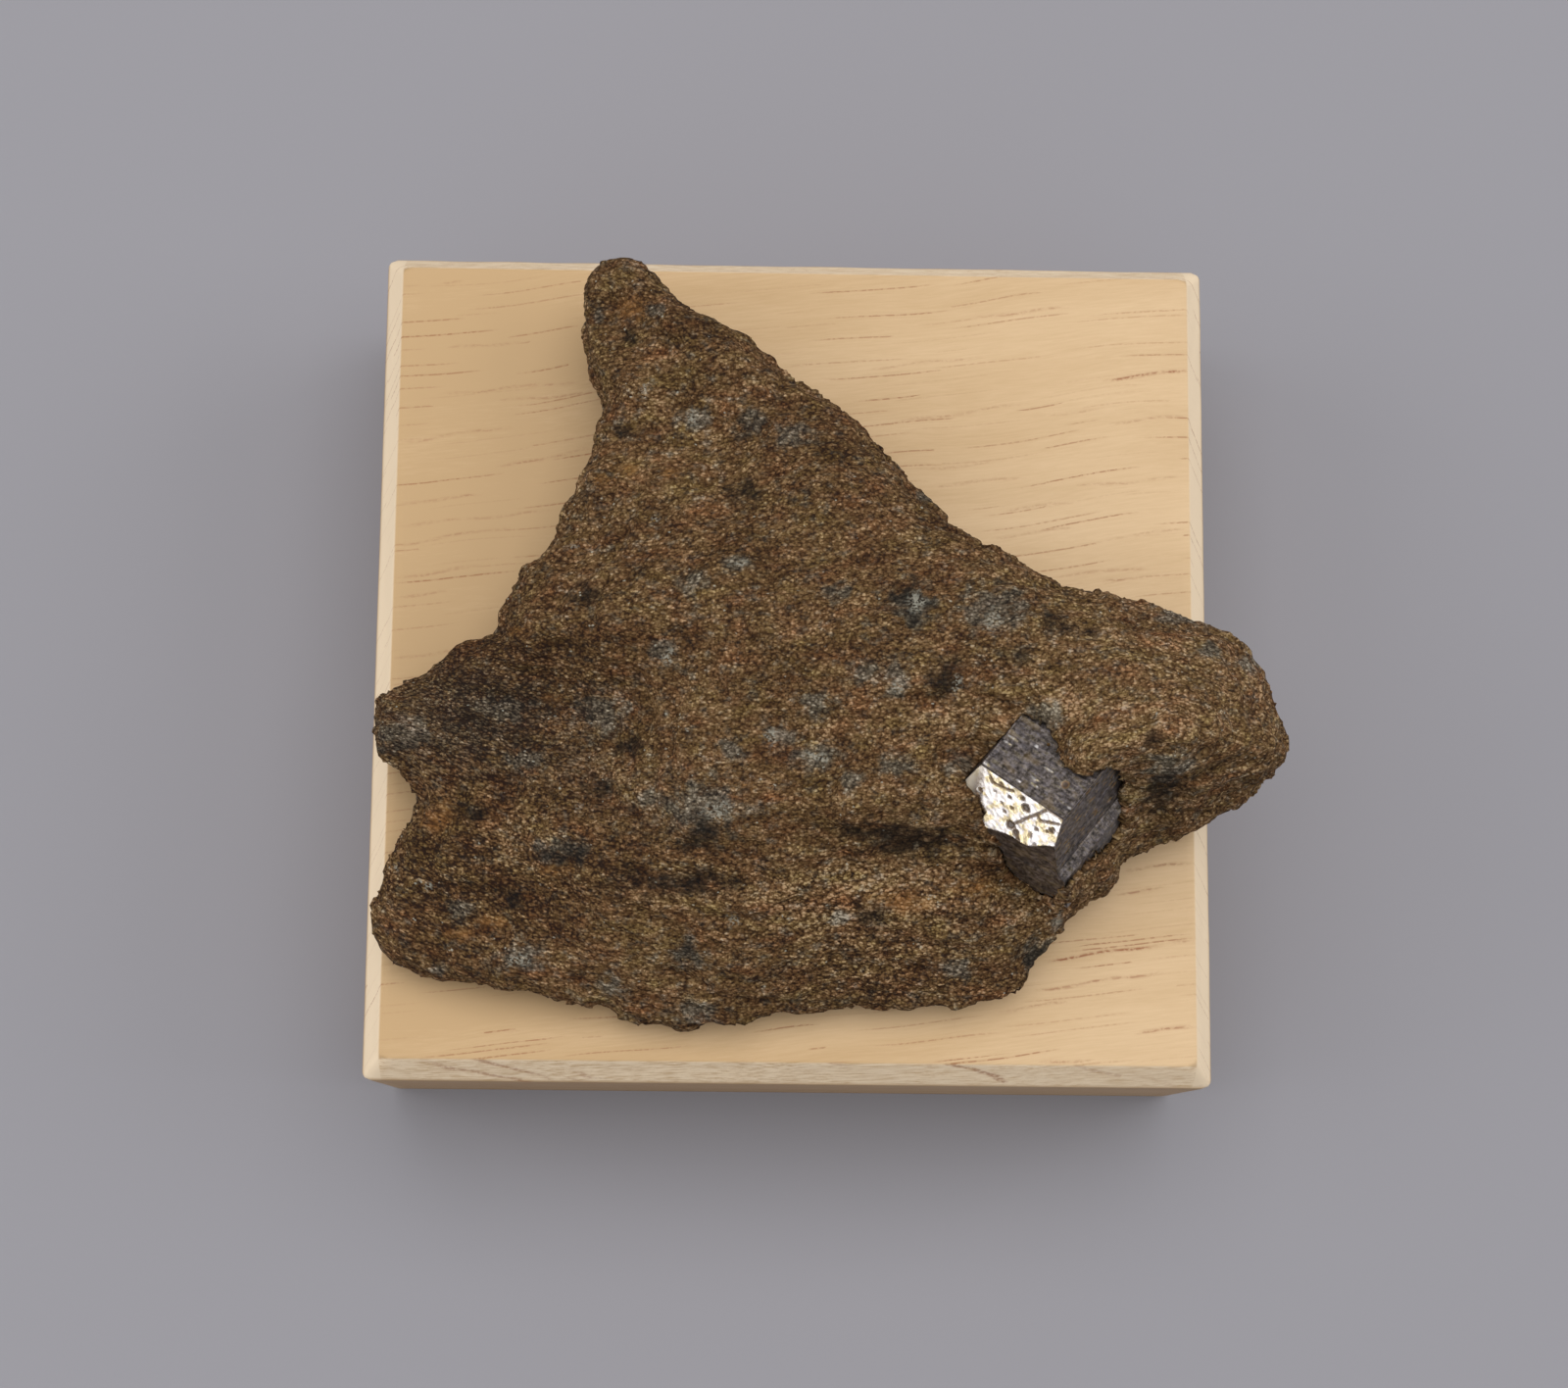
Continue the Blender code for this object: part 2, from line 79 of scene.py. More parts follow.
# The longest rows of open vessels on the top, each as the place of its middle, its length, its
# slope in degrees and how deep and dark it is
VESSEL_ROWS = [
    (24.6, 38.8, 11, 7.5, 0.6), (14.3, 33, 12.5, 7, 0.4), (38.5, 32, 9.4, 7.5, 1.0),
    (17, 27.2, 16, 9.5, 0.5), (30.3, 27.7, 9, 8, 0.35), (38.3, 27, 9.3, 6.5, 0.4),
    (17, 21.4, 9, 7, 0.45), (20.2, 19.8, 10.5, 7, 0.5), (36.4, 20, 13.6, 6, 0.45),
    (26.8, 17.2, 8, 8, 0.45), (25.8, 14.2, 9.3, 8.5, 0.45), (38.3, 14.3, 9.6, 7.5, 0.4),
    (33.2, 10, 10, 6.5, 0.55), (35.6, 9.3, 5.7, 8.5, 0.6), (-39.5, 41, 7, 7, 0.35),
    (-34, 34.2, 8, 6, 0.4), (-30.4, 29.5, 15.6, 6.5, 0.45), (-27, 28.5, 10.4, 6, 0.5),
    (-36.5, 24.2, 12.5, 9.5, 0.45), (-27, 21.7, 10.8, 13, 0.5), (-38, 17, 8.7, 6.5, 0.5),
    (-33.7, 15, 17, 6.5, 0.4), (-36.4, 13, 13, 10.5, 0.4), (-38, 9, 8.7, 9, 0.5),
    (-40, 6.5, 5.7, 11.5, 0.55), (-39.2, 0, 7, 8.5, 0.45), (39, -21.8, 8, 7, 0.65),
    (37.2, -24.4, 5.8, 7.5, 0.65), (33, -31, 12.3, 8.5, 1.0), (41.3, -29.7, 3, 7.5, 0.7),
    (32.7, -34, 13.6, 9, 0.7), (26, -36.7, 7.8, 9, 0.5), (39.6, -39, 6.4, 8.5, 0.9),
    (29, -42.4, 6.2, 4, 0.6),
]


def clear_selection():
    """Leave nothing selected, so that an operator acts only on the piece in hand."""
    if bpy.context.mode != "OBJECT":
        bpy.ops.object.mode_set(mode="OBJECT")
    bpy.ops.object.select_all(action="DESELECT")


def read_vectors(mesh, name):
    """The places ("co") or normals of the mesh's points, one row for each."""
    values = numpy.empty(len(mesh.vertices) * 3)
    mesh.vertices.foreach_get(name, values)
    return values.reshape(-1, 3)


def write_points(mesh, points):
    """Move the mesh's points to places given in millimetres."""
    mesh.vertices.foreach_set("co", (points * MM).ravel())
    mesh.update()


def add_attribute(mesh, name, values):
    """Keep one number, or one vector, for each point of the mesh, for its material to read."""
    values = numpy.asarray(values, dtype=numpy.float32)
    kind, key = ("FLOAT_VECTOR", "vector") if values.ndim == 2 else ("FLOAT", "value")
    attribute = mesh.attributes.new(name, kind, "POINT")
    attribute.data.foreach_set(key, values.ravel())


def smooth_step(low, high, value):
    share = numpy.clip((value - low) / (high - low), 0.0, 1.0)
    return share * share * (3.0 - 2.0 * share)


def linear(hex_colour):
    """An sRGB hex colour as the linear colour that a shader takes."""
    channels = [int(hex_colour[start:start + 2], 16) / 255.0 for start in (1, 3, 5)]
    return (
        *[c / 12.92 if c <= 0.04045 else ((c + 0.055) / 1.055) ** 2.4 for c in channels],
        1.0,
    )


def add_node(tree, kind, settings=None, links=None, stops=None):
    """Add a node: settings go to its properties or sockets, and stops, in hex, to its ramp.

    Each link names one of its sockets and what feeds it: a socket, or a node's first output.
    """
    node = tree.nodes.new(kind)
    for name, value in (settings or {}).items():
        if isinstance(name, str) and hasattr(node, name):
            setattr(node, name, value)
        else:
            node.inputs[name].default_value = value
    for name, source in (links or {}).items():
        if isinstance(source, bpy.types.Node):
            source = source.outputs[0]
        tree.links.new(source, node.inputs[name])
    if stops:
        ramp = node.color_ramp
        while len(ramp.elements) < len(stops):
            ramp.elements.new(0.5)
        for element, (place, colour) in zip(ramp.elements, stops):
            element.position = place
            element.color = linear(colour)
    return node


clear_selection()
bpy.ops.mesh.primitive_grid_add(
    x_subdivisions=GRAIN_COLUMNS, y_subdivisions=GRAIN_ROWS, size=TOP_SIDE * MM,
    location=(0.0, 0.0, BLOCK_HEIGHT * MM),
)
wood_block = bpy.context.object
wood_block.name = "pale_wood_block"
bpy.ops.object.transform_apply(location=True, rotation=True, scale=True)
bpy.ops.object.mode_set(mode="EDIT")
bpy.ops.mesh.select_mode(type="EDGE")
bpy.ops.mesh.select_all(action="DESELECT")
bpy.ops.mesh.select_non_manifold()
side_now, depth_now = TOP_SIDE, 0.0
for side_next, depth_next in BLOCK_PROFILE:
    bpy.ops.mesh.extrude_edges_move(
        TRANSFORM_OT_translate={"value": (0.0, 0.0, -(depth_next - depth_now) * MM)}
    )
    bpy.ops.transform.resize(value=(side_next / side_now, side_next / side_now, 1.0))
    side_now, depth_now = side_next, depth_next
bpy.ops.mesh.edge_face_add()
bpy.ops.mesh.select_all(action="SELECT")
bpy.ops.mesh.normals_make_consistent(inside=False)
bpy.ops.object.mode_set(mode="OBJECT")

# The upright edges are eased: the square at each corner becomes a quarter of a circle.
points = read_vectors(wood_block.data, "co") / MM
side_at = numpy.interp(
    BLOCK_HEIGHT - points[:, 2],
    [0.0] + [depth for _, depth in BLOCK_PROFILE], [TOP_SIDE] + [side for side, _ in BLOCK_PROFILE],
)
over_x = numpy.clip((numpy.abs(points[:, 0]) - side_at / 2) / CORNER_ROUND + 1.0, 0.0, 1.0)
over_y = numpy.clip((numpy.abs(points[:, 1]) - side_at / 2) / CORNER_ROUND + 1.0, 0.0, 1.0)
pull_x = over_x * (1.0 - numpy.sqrt(1.0 - over_y ** 2 / 2)) * CORNER_ROUND
pull_y = over_y * (1.0 - numpy.sqrt(1.0 - over_x ** 2 / 2)) * CORNER_ROUND
# The saw opened the vessels as fine dashed grooves.
vessels = numpy.zeros(len(points))
on_top = points[:, 2] > BLOCK_HEIGHT - 0.01
for x, y, length, slope, depth in VESSEL_ROWS:
    across, up = math.cos(math.radians(slope)), math.sin(math.radians(slope))
    run = (points[:, 0] - x) * across + (points[:, 1] - y) * up
    bow = 0.12 * numpy.sin(run * 0.7 + x)
    beside = (points[:, 1] - y) * across - (points[:, 0] - x) * up - bow
    close = numpy.nonzero(on_top & (numpy.abs(beside) < 0.5) & (numpy.abs(run) < length / 2))[0]
    for index in close:
        dash = 0.5 + noise.noise(Vector((run[index] / VESSEL_DASH, x, y)))
        end = min(1.0, (length / 2 - abs(run[index])) / 1.5)
        strength = depth * end * min(1.0, max(0.3 * depth, dash + 0.5 * depth))
        line = math.exp(-(beside[index] / (0.09 + 0.04 * depth)) ** 2)
        vessels[index] = max(vessels[index], strength * line)
# Planing leaves the chamfers a little uneven along their fibres, and sanding leaves shallow waves.
on_chamfer = smooth_step(0.02, 1.2, BLOCK_HEIGHT - points[:, 2])
on_chamfer *= smooth_step(CHAMFER_FOOT, CHAMFER_FOOT + 0.8, points[:, 2])
for index, (x, y, z) in enumerate(points):
    wave = SANDING_WAVE * (noise.noise(Vector((x / 16.0, y / 3.0, z / 3.0))) - 0.5)
    fibre = FIBRE_DEPTH * on_chamfer[index] * noise.noise(Vector((x / 5.0, y / 5.0, z / 1.1)))
    inward = max(0.0, PLANED_DEPTH * on_chamfer[index] + fibre)
    points[index, 2] += (min(0.0, wave) if z > 5.0 else 0.0) - VESSEL_DEPTH * vessels[index]
    points[index, 0] -= math.copysign(pull_x[index] + (inward if abs(x) > SIDE_START else 0.0), x)
    points[index, 1] -= math.copysign(pull_y[index] + (inward if abs(y) > SIDE_START else 0.0), y)
write_points(wood_block.data, points)
add_attribute(wood_block.data, "vessel", vessels)
clear_selection()
wood_block.select_set(True)
bpy.context.view_layer.objects.active = wood_block
bpy.ops.object.shade_smooth_by_angle(angle=math.radians(40.0))

# Bare ring-porous hardwood, such as ash, sawn and sanded: matt, pale straw, with rows of short
# brown dashes where the saw opened its vessels, 0.2 mm wide. The rows lie in the growth rings,
# which dip to the back, and the paler chamfers show where the fibres were cut across.
WOOD_PALE = linear("#E3C399")
WOOD_WARM = linear("#C5A274")
WOOD_VESSEL = linear("#8C450F")
WOOD_CHAMFER = linear("#F7E0BF")
# Darker grey for the sides: painted shade
WOOD_SIDE_SHADE = linear("#CCC3BB")
bare_ash = bpy.data.materials.new("bare_sanded_ash")
bare_ash.use_nodes = True
tree = bare_ash.node_tree
surface = tree.nodes["Principled BSDF"]
surface.inputs["Roughness"].default_value = 0.62
surface.inputs["IOR"].default_value = 1.5
place = add_node(tree, "ShaderNodeTexCoord")
along = add_node(
    tree, "ShaderNodeMapping",
    {"Rotation": (0.0, 0.0, -0.12), "Scale": (1000.0, 1000.0, 1000.0)},
    {"Vector": place.outputs["Object"]},
)
sway = add_node(tree, "ShaderNodeTexNoise", {"Scale": 0.045, "Detail": 1.0}, {"Vector": along})
bend = add_node(
    tree, "ShaderNodeVectorMath", {"operation": "MULTIPLY", 1: (0.0, 2.2, 2.2)},
    {0: sway.outputs["Color"]},
)
fibre_place = add_node(tree, "ShaderNodeVectorMath", {"operation": "ADD"}, {0: along, 1: bend})
# Vessel rows about 11 mm long, one in each cell of a pattern that is stretched along the grain
ring_turn = add_node(
    tree, "ShaderNodeMapping", {"Rotation": (0.64, 0.0, 0.0)}, {"Vector": fibre_place}
)
ring_place = add_node(
    tree, "ShaderNodeMapping", {"Scale": (0.06, 0.6, 0.14)}, {"Vector": ring_turn}
)
ring_cells = add_node(tree, "ShaderNodeTexVoronoi", {"Scale": 1.0}, {"Vector": ring_place})
from_row = add_node(
    tree, "ShaderNodeVectorMath", {"operation": "SUBTRACT"},
    {0: ring_place, 1: ring_cells.outputs["Position"]},
)
beside_row = add_node(tree, "ShaderNodeVectorMath", {"operation": "ABSOLUTE"}, {0: from_row})
row_axes = add_node(tree, "ShaderNodeSeparateXYZ", links={"Vector": beside_row})
row_line = add_node(
    tree, "ShaderNodeMapRange",
    {
        "interpolation_type": "SMOOTHSTEP", "From Min": 0.015, "From Max": 0.058,
        "To Min": 1.0, "To Max": 0.0,
    },
    {"Value": row_axes.outputs["Y"]},
)
row_ends = add_node(
    tree, "ShaderNodeMapRange",
    {"From Min": 0.26, "From Max": 0.42, "To Min": 1.0, "To Max": 0.0},
    {"Value": row_axes.outputs["X"]},
)
dash_place = add_node(
    tree, "ShaderNodeMapping", {"Scale": (2.2, 3.0, 3.0)}, {"Vector": fibre_place}
)
dash = add_node(tree, "ShaderNodeTexNoise", {"Scale": 1.0, "Detail": 1.0}, {"Vector": dash_place})
dash_share = add_node(
    tree, "ShaderNodeMapRange", {"From Min": 0.42, "From Max": 0.54, "To Min": 0.35},
    {"Value": dash},
)
row_pick = add_node(tree, "ShaderNodeSeparateColor", links={"Color": ring_cells.outputs["Color"]})
row_depth = add_node(
    tree, "ShaderNodeMapRange", {"From Min": 0.25, "To Min": 0.10, "To Max": 0.62},
    {"Value": row_pick.outputs["Red"]},
)
row_run = add_node(tree, "ShaderNodeMath", {"operation": "MULTIPLY"}, {0: row_line, 1: row_ends})
row_dashed = add_node(
    tree, "ShaderNodeMath", {"operation": "MULTIPLY"}, {0: row_run, 1: dash_share}
)
row_shown = add_node(
    tree, "ShaderNodeMath", {"operation": "MULTIPLY"}, {0: row_dashed, 1: row_depth}
)
vessel_value = add_node(tree, "ShaderNodeAttribute", {"attribute_name": "vessel"}).outputs["Fac"]
vessel_dashed = add_node(
    tree, "ShaderNodeMath", {"operation": "MULTIPLY"}, {0: vessel_value, 1: dash_share}
)
vessel_share = add_node(
    tree, "ShaderNodeMath", {"operation": "MAXIMUM"}, {0: row_shown, 1: vessel_dashed}
)
# Fine fibres, 0.1 mm wide in the wood and drawn at 0.25 mm so that they show
fibre_scale = add_node(
    tree, "ShaderNodeMapping", {"Scale": (0.25, 4.0, 4.0)}, {"Vector": fibre_place}
)
fibres = add_node(
    tree, "ShaderNodeTexNoise", {"Scale": 1.0, "Detail": 5.0, "Roughness": 0.7},
    {"Vector": fibre_scale},
)
cloud_scale = add_node(
    tree, "ShaderNodeMapping", {"Scale": (0.025, 0.16, 0.16)}, {"Vector": fibre_place}
)
cloud = add_node(tree, "ShaderNodeTexNoise", {"Scale": 1.0, "Detail": 2.0}, {"Vector": cloud_scale})
tone = add_node(
    tree, "ShaderNodeMath", {"operation": "MULTIPLY_ADD", 1: 0.7}, {0: fibres, 2: cloud}
)
# The board is paler towards its right.
place_axes = add_node(tree, "ShaderNodeSeparateXYZ", links={"Vector": place.outputs["Object"]})
paler_to_right = add_node(
    tree, "ShaderNodeMapRange",
    {"From Min": -0.03, "From Max": 0.035, "To Min": 0.18, "To Max": -0.36},
    {"Value": place_axes.outputs["X"]},
)
tone_share = add_node(
    tree, "ShaderNodeMath", {"operation": "ADD", "use_clamp": True}, {0: tone, 1: paler_to_right}
)
straw = add_node(
    tree, "ShaderNodeMix", {"data_type": "RGBA", 6: WOOD_PALE, 7: WOOD_WARM}, {"Factor": tone_share}
)
# The chamfers start where the distance from the middle, x or y, passes 42.85 mm.
middle = add_node(
    tree, "ShaderNodeVectorMath", {"operation": "ABSOLUTE"}, {0: place.outputs["Object"]}
)
axes = add_node(tree, "ShaderNodeSeparateXYZ", links={"Vector": middle})
outward = add_node(
    tree, "ShaderNodeMath", {"operation": "MAXIMUM"}, {0: axes.outputs["X"], 1: axes.outputs["Y"]}
)
across_fibres = add_node(
    tree, "ShaderNodeMapRange", {"From Min": 0.04275, "From Max": 0.04295, "To Max": 0.9},
    {"Value": axes.outputs["X"]},
)
along_fibres = add_node(
    tree, "ShaderNodeMapRange", {"From Min": 0.04275, "From Max": 0.04295, "To Max": 0.9},
    {"Value": axes.outputs["Y"]},
)
fibre_streaks = add_node(
    tree, "ShaderNodeMapRange", {"From Min": 0.68, "From Max": 0.44}, {"Value": fibres}
)
streaked_fibres = add_node(
    tree, "ShaderNodeMath", {"operation": "MULTIPLY"}, {0: along_fibres, 1: fibre_streaks}
)
chamfer_start = add_node(
    tree, "ShaderNodeMath", {"operation": "MAXIMUM"}, {0: across_fibres, 1: streaked_fibres}
)
chamfer_end = add_node(
    tree, "ShaderNodeMapRange",
    {"From Min": 0.0447, "From Max": 0.0449, "To Min": 1.0, "To Max": 0.3}, {"Value": outward},
)
chamfer_share = add_node(
    tree, "ShaderNodeMath", {"operation": "MULTIPLY"}, {0: chamfer_start, 1: chamfer_end}
)
planed = add_node(
    tree, "ShaderNodeMix", {"data_type": "RGBA", 7: WOOD_CHAMFER},
    {"Factor": chamfer_share, 6: straw.outputs[2]},
)
# The sides are painted darker and greyer: painted shade, as on the shaded front side, with a little
# grey of their own sawn wood.
side_shade_share = add_node(
    tree, "ShaderNodeMapRange", {"From Min": 0.0449, "From Max": 0.04498}, {"Value": outward}
)
sawn_and_shaded = add_node(
    tree, "ShaderNodeMix", {"data_type": "RGBA", "blend_type": "MULTIPLY", 7: WOOD_SIDE_SHADE},
    {"Factor": side_shade_share, 6: planed.outputs[2]},
)
wood_colour = add_node(
    tree, "ShaderNodeMix", {"data_type": "RGBA", 7: WOOD_VESSEL},
    {"Factor": vessel_share, 6: sawn_and_shaded.outputs[2]},
)
tree.links.new(wood_colour.outputs[2], surface.inputs["Base Color"])
relief = add_node(
    tree, "ShaderNodeMath", {"operation": "MULTIPLY_ADD", 1: -3.0}, {0: row_shown, 2: fibres}
)
grain_bump = add_node(
    tree, "ShaderNodeBump", {"Strength": 0.35, "Distance": 0.00004}, {"Height": relief}
)
tree.links.new(grain_bump.outputs["Normal"], surface.inputs["Normal"])
wood_block.data.materials.clear()
wood_block.data.materials.append(bare_ash)
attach(wood_block, "root")
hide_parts("display_block")


# Host rock. The real one is a broken piece of fine-grained, rusty mica schist, about 95 by 81 mm
# and up to 22 mm thick, glued flat on the block. Its grains lie along layers that dip a little to
# the left, so slopes break into low steps, and flat places are like coarse sugar.
ROCK_VOXEL = 0.412
LAYER_THICKNESS = 0.62
LAYER_TILT = 0.10
REST_LEVEL = 33.0
CAD_GAP = 0.3
SOCKET_GAP = 0.04
SOCKET_REACH = 0.75
SOCKET_MIDDLE = (26.0, -16.5, 48.5)
SOCKET_SPAN = 18.0
FOOT_TOWARDS = (-0.516, -0.815, 0.262)
FOOT_DROP = 0.9
TIP_PLACE = (18.0, -14.6, 50.3)
TIP_DROP = 0.8
FILM_THICKNESS = 0.35
HORN_BREAK = 39.9
HORN_SQUASH = 0.4
# Stains and mineral patches, each as the place of its middle and its half width and half height,
# in millimetres seen from above
GREY_PATCHES = [
    (-15, 34, 1.2, 0.9), (-21, 34, 1.0, 1.2), (-11, 22.5, 1.5, 1.4), (-5, 22, 1.5, 1.5),
    (-0.5, 20.5, 2.6, 1.5), (-6, 6.5, 1.5, 0.9), (-10.5, 4.5, 1.8, 1.3), (-13.5, -2.5, 1.8, 1.4),
    (4, 3.5, 1.6, 1.0), (20, 2, 3.7, 2.6), (10, -5.5, 1.2, 2.0), (11.5, 2, 2.4, 2.2),
    (-1.5, -11, 1.8, 1.2), (1.5, -13, 2.6, 1.2), (-6.5, -12.5, 1.5, 1.2), (-9.5, -18, 4.7, 2.8),
    (-15, -17, 1.1, 1.0), (2, -8, 1.8, 1.2), (5.5, -15.5, 1.2, 1.2), (10, -14, 1.8, 1.0),
    (16, -13.5, 1.2, 1.0), (-20, -8, 2.9, 2.4), (-29.5, -7.5, 3.8, 1.7), (-40, -10, 3.5, 2.3),
    (-27.5, -12.5, 2.4, 1.2), (-24, -22, 2.7, 1.4), (-34, -28, 1.7, 1.1), (-28, -33, 2.7, 1.4),
    (-36.5, -34, 1.0, 0.8), (-10.5, -32.5, 1.5, 1.4), (-18.5, -35.5, 1.5, 1.2),
    (-10, -38, 2.7, 1.2), (5, -28.5, 1.2, 0.9), (17, -33.5, 1.8, 1.0), (25.5, -32, 1.8, 1.8),
    (27.5, -28.5, 0.8, 0.8), (25, -9, 1.8, 1.5), (40.5, 2.5, 3.7, 1.3), (42, -1.5, 1.5, 0.9),
    (46.5, -2.5, 1.5, 1.2), (37, -14, 2.8, 1.2), (13.5, 15, 1.4, 0.6), (6.5, -5, 1.6, 1.2),
]
# Where grey grains are mixed with the brown ones: place, half width and height, and their share
GREY_ZONES = [(-33, -8.5, 10, 6, 0.6), (-23, -13, 7, 4, 0.35), (-14, -17, 7, 4, 0.3)]
# Dark spots, and two long bands of painted shade under the ledges, at (11, -21) and (-12, -25.5)
DARK_AND_LEDGE_SHADE_PATCHES = [
    (-5.5, 14.5, 1.8, 1.2), (-18, 21, 1.0, 0.8), (-17.5, 31.5, 1.2, 0.9), (-21.5, 3.5, 1.5, 1.2),
    (11.5, 2.5, 2.2, 2.0), (26, 0.5, 1.6, 1.1), (29.5, -0.5, 0.8, 0.6), (22, -3, 1.5, 0.7),
    (15, -5.5, 1.7, 1.9), (-20, -15.5, 1.5, 1.4), (-29, -27, 1.4, 1.0), (-24, -22.5, 2.2, 1.0),
    (8, -28.5, 1.8, 1.4), (11, -21, 5.7, 1.6), (37, -16, 1.8, 1.6), (35, -12, 1.2, 0.9),
    (-9.5, -20.5, 2.4, 1.6), (-10.5, -32, 1.2, 0.9), (25.5, -32, 1.4, 1.4), (-17, -11.5, 1.4, 1.0),
    (-12, -25.5, 6.1, 1.2), (-33, -18, 1.4, 1.0),
]
PALE_PATCHES = [
    (19.5, 0.5, 0.9, 1.0), (12, 2.5, 0.8, 1.0), (10, -6.5, 0.6, 0.6), (-6, -29, 0.6, 0.5),
    (-14.5, 11.5, 0.3, 0.3), (-16, 25, 0.3, 0.6), (-41, -23.5, 0.4, 0.3), (-37.5, -25.5, 0.3, 0.3),
    (-22, -17.5, 0.3, 0.2), (-36.5, -14.5, 0.3, 0.2), (-28, -33, 1.2, 0.7), (-11, 22.5, 0.6, 0.8),
    (-6, 6.5, 0.8, 0.3), (-13, -3, 0.8, 0.7), (-2.5, -11, 0.8, 0.6), (2, -13, 1.0, 0.5),
    (10.5, -11.5, 0.4, 0.2), (-8, -18.5, 1.4, 0.8), (27.5, -28.5, 0.4, 0.5), (16, -6, 0.4, 0.8),
    (-23, 9, 0.5, 0.3),
]
OCHRE_PATCHES = [
    (-28.5, 0, 0.9, 0.4), (-25, -6.5, 0.9, 0.5), (-20, 16, 1.0, 0.5), (-13, 16.5, 1.0, 0.4),
    (-17.5, 17, 1.4, 0.8), (-24, -24, 1.6, 0.6), (-30.5, -29, 1.7, 0.6), (-35, -30.5, 1.8, 0.6),
    (-36.5, -18.5, 1.7, 1.4), (-17.5, 34.5, 1.4, 1.2), (-5, -16, 0.8, 0.5), (19, -25.5, 3.1, 0.8),
    (11, -27, 3.1, 1.0),
]
# Where the rock is darker or lighter than elsewhere, as the place of the middle, the half width
# and half height in millimetres, and the change of its tone and of its grains' contrast. Some zones
# are its own tone, others painted shade and light of its relief, such as the dark scarp at
# (-21, -1.5), the shaded lower edge at (9, -34) and the lit top of the low ledge at (8, -27)
TONE_AND_SHADE_ZONES = [
    (-31, -8, 11, 7, -0.32, 0.4), (-32, -24, 12, 7, -0.27, 0.4), (43, -6, 10, 9, 0.12, 0.0),
    (8, -27, 15, 3.6, 0.10, 0.4), (-14, 17, 7, 3.5, 0.05, -0.1), (-16, 37, 4, 7, -0.06, 0.0),
    (-21, -1.5, 11, 1.8, -0.12, 0.0), (-13, 9, 9, 2.5, -0.06, 0.0), (27, 2, 8, 5, 0.06, 0.0),
    (6, -8, 8, 4, 0.05, 0.0), (-4, 10, 8, 3, -0.04, 0.0), (-16, -24, 7, 1.6, -0.12, 0.1),
    (9, -34, 12, 3.5, -0.08, 0.3), (24, -6.5, 8, 3.5, 0.14, 0.0), (33, -16, 5, 6, 0.17, 0.0),
    (28, -27, 5, 3, 0.11, 0.0), (14, -17, 3.5, 3, 0.14, 0.0), (-31.5, -21, 4.5, 3, 0.15, 0.0),
    (-15, 18, 4, 2.5, 0.08, 0.0), (-16, 29, 3, 4, 0.09, 0.0), (-10, 33, 4, 4.5, -0.14, 0.0),
    (4, 21.5, 5, 3.5, -0.12, 0.0), (14, 12, 4, 5, -0.12, 0.0), (-2, -40, 8, 3, -0.15, 0.0),
    (-38, -31, 3, 3, -0.12, 0.0),
]


def patch_shares(points, patches, edge):
    """How far each point lies in a patch, from 0 outside to 1 in its middle, with ragged edges."""
    shares = numpy.zeros(len(points))
    for x, y, half_width, half_height in patches:
        away = numpy.hypot((points[:, 0] - x) / half_width, (points[:, 1] - y) / half_height)
        near = numpy.nonzero(away < 2.2)[0]
        for index in near:
            ragged = 0.9 * noise.noise(Vector(points[index]) * edge)
            share = 1.0 - (away[index] + ragged - 0.45) / 0.9
            shares[index] = max(shares[index], min(1.0, share))
    return numpy.clip(shares, 0.0, 1.0)


schist_rock = bpy.data.objects.new("schist_rock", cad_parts["matrix_rock"].data.copy())
bpy.context.scene.collection.objects.link(schist_rock)
clear_selection()
schist_rock.select_set(True)
bpy.context.view_layer.objects.active = schist_rock
bpy.ops.object.mode_set(mode="EDIT")
bpy.ops.mesh.select_all(action="SELECT")
bpy.ops.mesh.remove_doubles(threshold=0.000001)
bpy.ops.object.mode_set(mode="OBJECT")
even = schist_rock.modifiers.new("even_faces", "REMESH")
even.mode = "VOXEL"
even.voxel_size = ROCK_VOXEL * MM
bpy.ops.object.modifier_apply(modifier=even.name)
soften = schist_rock.modifiers.new("soften", "SMOOTH")
soften.factor = 0.5
soften.iterations = 3
bpy.ops.object.modifier_apply(modifier=soften.name)

# The grains lie along the layers' own direction, which swings up to the right at the lower left.
points = read_vectors(schist_rock.data, "co") / MM
normals = read_vectors(schist_rock.data, "normal")
swing = numpy.clip(-points[:, 0] - 4.0, 0.0, None)
swing = 0.0045 * swing ** 2 * smooth_step(-4.0, 14.0, -points[:, 1])
lie = numpy.column_stack((
    points[:, 0],
    points[:, 1] - 0.05 * points[:, 0] - swing,
    points[:, 2] + LAYER_TILT * points[:, 0],
))
steep = 1.0 - numpy.abs(normals[:, 2])
grey = patch_shares(points, GREY_PATCHES, 0.9)
for x, y, half_width, half_height, share in GREY_ZONES:
    away = ((points[:, 0] - x) / half_width) ** 2 + ((points[:, 1] - y) / half_height) ** 2
    grey = numpy.maximum(grey, share * numpy.exp(-away))
# Dark spots and painted ledge shade
dark_and_ledge_shade = patch_shares(points, DARK_AND_LEDGE_SHADE_PATCHES, 0.9)
pale = patch_shares(points, PALE_PATCHES, 1.6)
ochre = 0.55 * patch_shares(points, OCHRE_PATCHES, 0.8)
streaky = smooth_step(-6.0, 12.0, -points[:, 0]) * smooth_step(2.0, 16.0, -points[:, 1])
tone = numpy.full(len(points), 0.5)
contrast = numpy.full(len(points), 0.94)
# The zones add their own tone, and their painted shade and light, to each point.
for x, y, half_width, half_height, change, contrast_change in TONE_AND_SHADE_ZONES:
    away = ((points[:, 0] - x) / half_width) ** 2 + ((points[:, 1] - y) / half_height) ** 2
    tone += change * numpy.exp(-away)
    contrast += contrast_change * numpy.exp(-away)
free = smooth_step(0.15, 1.6, points[:, 2] - REST_LEVEL - CAD_GAP)
grain_relief = numpy.empty(len(points))
